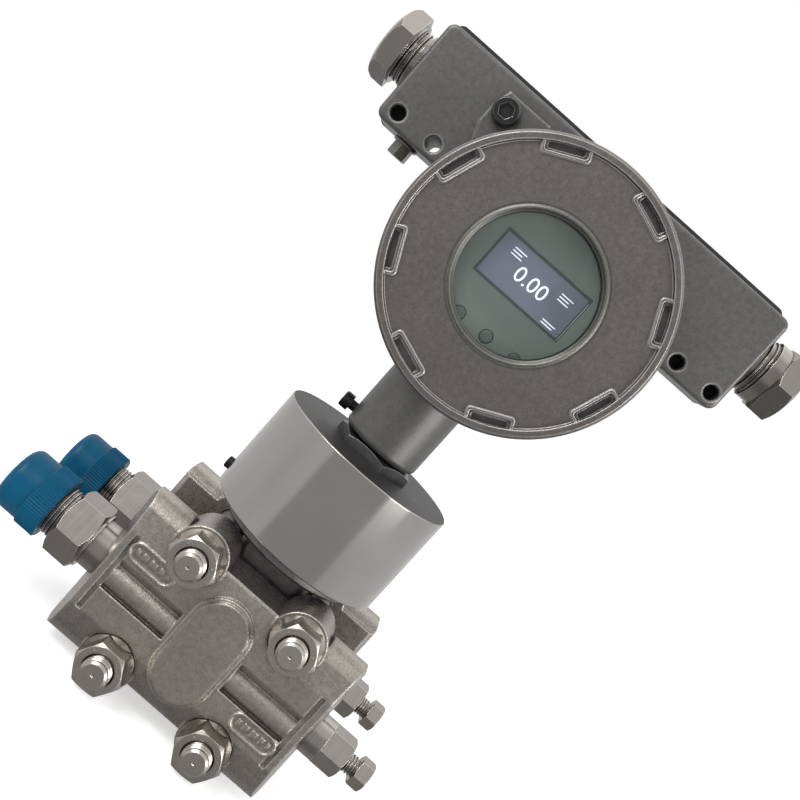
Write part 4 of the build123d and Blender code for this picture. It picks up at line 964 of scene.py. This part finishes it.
screen_finish, screen_tree, screen_shader, screen_place = new_material("lit_screen")
screen_glow = colour_ramp(
    screen_tree,
    noise(screen_tree, screen_place, scale=50.0, detail=2.0),
    [(STAIN_FROM, SCREEN_DARK), (STAIN_TO, SCREEN_LIGHT)],
)
screen_parts = put_node(screen_tree, "ShaderNodeSeparateXYZ", {"Vector": screen_place}).outputs
rims = []
for axis, centre, half in (("X", SCREEN_X, SCREEN_L / 2), ("Z", SCREEN_Z, SCREEN_H / 2)):
    off_centre = calculate(screen_tree, "SUBTRACT", screen_parts[axis], centre * MM)
    off_centre = calculate(screen_tree, "ABSOLUTE", off_centre)
    rim_from = (half - SCREEN_RIM) * MM
    rim_to = (half - SCREEN_RIM + SCREEN_RIM_FADE) * MM
    rims.append(map_value(screen_tree, off_centre, 0.0, 1.0, rim_from, rim_to))
rim = calculate(screen_tree, "MAXIMUM", *rims)
screen_tone = mix_colours(screen_tree, rim, screen_glow, SCREEN_RIM_COLOUR)
screen_tree.links.new(screen_tone, screen_shader.inputs["Base Color"])
screen_shader.inputs["Roughness"].default_value = SCREEN_ROUGHNESS
dress(["display_module"], screen_finish)

digit_finish, _, digit_shader, _ = new_material("lit_digits")
digit_shader.inputs["Base Color"].default_value = DIGIT_COLOUR
digit_shader.inputs["Emission Color"].default_value = DIGIT_COLOUR
digit_shader.inputs["Emission Strength"].default_value = DIGIT_GLOW
digit_shader.inputs["Roughness"].default_value = DIGIT_ROUGHNESS

bpy.ops.object.select_all(action="DESELECT")
bpy.ops.object.text_add(location=(0, 0, 0))
reading = bpy.context.object
reading.data.body = DIGITS
reading.data.size = DIGIT_SIZE * MM
reading.data.align_x = "CENTER"
reading.data.align_y = "CENTER"
reading.data.extrude = DIGIT_HALF_DEPTH * MM
reading.data.resolution_u = DIGIT_STEPS
bpy.ops.object.convert(target="MESH")
reading = bpy.context.object
reading.rotation_euler = (math.radians(90), 0, 0)
digit_x, digit_z = DIGIT_PLACE
reading.location = place_mm(SCREEN_X + digit_x, SCREEN_FRONT_Y - DIGIT_OUT, SCREEN_Z + digit_z)
bake_place(reading)
finish_piece(reading, "reading_digits", digit_finish, "electronics_housing")

short_bars = []
for bar_x, bar_z, bar_w in SCREEN_BARS:
    bar_y = SCREEN_FRONT_Y - SCREEN_BAR_DEPTH / 2
    centre = place_mm(SCREEN_X + bar_x, bar_y, SCREEN_Z + bar_z)
    short_bars.append(small_bar(centre, (bar_w, SCREEN_BAR_DEPTH, SCREEN_BAR_H)))
screen_bars = join_pieces(short_bars)
finish_piece(screen_bars, "screen_bars", digit_finish, "electronics_housing")

# A painted highlight: a thin pale bar along the screen's right edge, where a bright line of light
# lies.
frame_finish = moulded_plastic(
    "edge_highlight_plastic",
    dark=screen_colour(150, 158, 152),
    light=screen_colour(176, 184, 178),
    roughness=0.3,
    flow_size=0.01,
)
edge_x = SCREEN_X + SCREEN_L / 2 - EDGE_INSET
edge_place = place_mm(edge_x, SCREEN_FRONT_Y - EDGE_OUT, SCREEN_Z - EDGE_DROP)
screen_edge = small_bar(edge_place, EDGE_SIZE)
finish_piece(screen_edge, "screen_edge", frame_finish, "electronics_housing")

# Electronics inside: the round green board behind the faceplate, and the black
# terminal strip in the box, with its brass clamping screws.
board_finish = moulded_plastic(
    "green_board",
    dark=screen_colour(20, 84, 52),
    light=screen_colour(28, 100, 62),
    roughness=0.4,
    flow_size=0.004,
)
dress(["electronics_board"], board_finish)
strip_finish = moulded_plastic(
    "black_terminal_strip",
    dark=screen_colour(28, 28, 30),
    light=screen_colour(38, 38, 40),
    roughness=0.5,
    flow_size=0.006,
)
dress(["terminal_block"], strip_finish)
brass_finish = machined_metal(
    "brass_screws",
    dark=screen_colour(176, 142, 82),
    light=screen_colour(214, 184, 120),
    edge=screen_colour(232, 208, 150),
    roughness=0.3,
    axis="Y",
)
dress(["terminal_screws"], brass_finish)

# Conduit entries: a closed hexagon plug on the left, a cable gland on the right,
# both nickel plated, with bright cut threads next to the box.
ENTRY_Y = 10.5
ENTRY_Z = 244.8
PLUG_THREAD_X = -85.2
PLUG_ROOT_R = 10.4
PLUG_CREST_R = 11.1
PLUG_THREAD_L = 3.8
PLUG_PITCH = 1.9
GLAND_THREAD_X = 83.5
GLAND_ROOT_R = 11.1
GLAND_CREST_R = 11.9
GLAND_THREAD_L = 4.4
GLAND_PITCH = 2.2

nickel_finish = machined_metal(
    "satin_nickel",
    dark=screen_colour(145, 140, 134),
    light=screen_colour(156, 151, 145),
    edge=screen_colour(248, 245, 239),
    roughness=0.13,
    axis="X",
)
dress(["blanking_plug", "gland_body", "gland_nut"], nickel_finish)
plug_start = place_mm(PLUG_THREAD_X, ENTRY_Y, ENTRY_Z)
plug_thread = cut_thread(plug_start, "-X", PLUG_ROOT_R, PLUG_CREST_R, PLUG_THREAD_L, PLUG_PITCH)
finish_piece(plug_thread, "plug_thread", nickel_finish, "electronics_housing")
gland_start = place_mm(GLAND_THREAD_X, ENTRY_Y, ENTRY_Z)
gland_thread = cut_thread(
    gland_start, "X", GLAND_ROOT_R, GLAND_CREST_R, GLAND_THREAD_L, GLAND_PITCH
)
finish_piece(gland_thread, "gland_thread", nickel_finish, "electronics_housing")
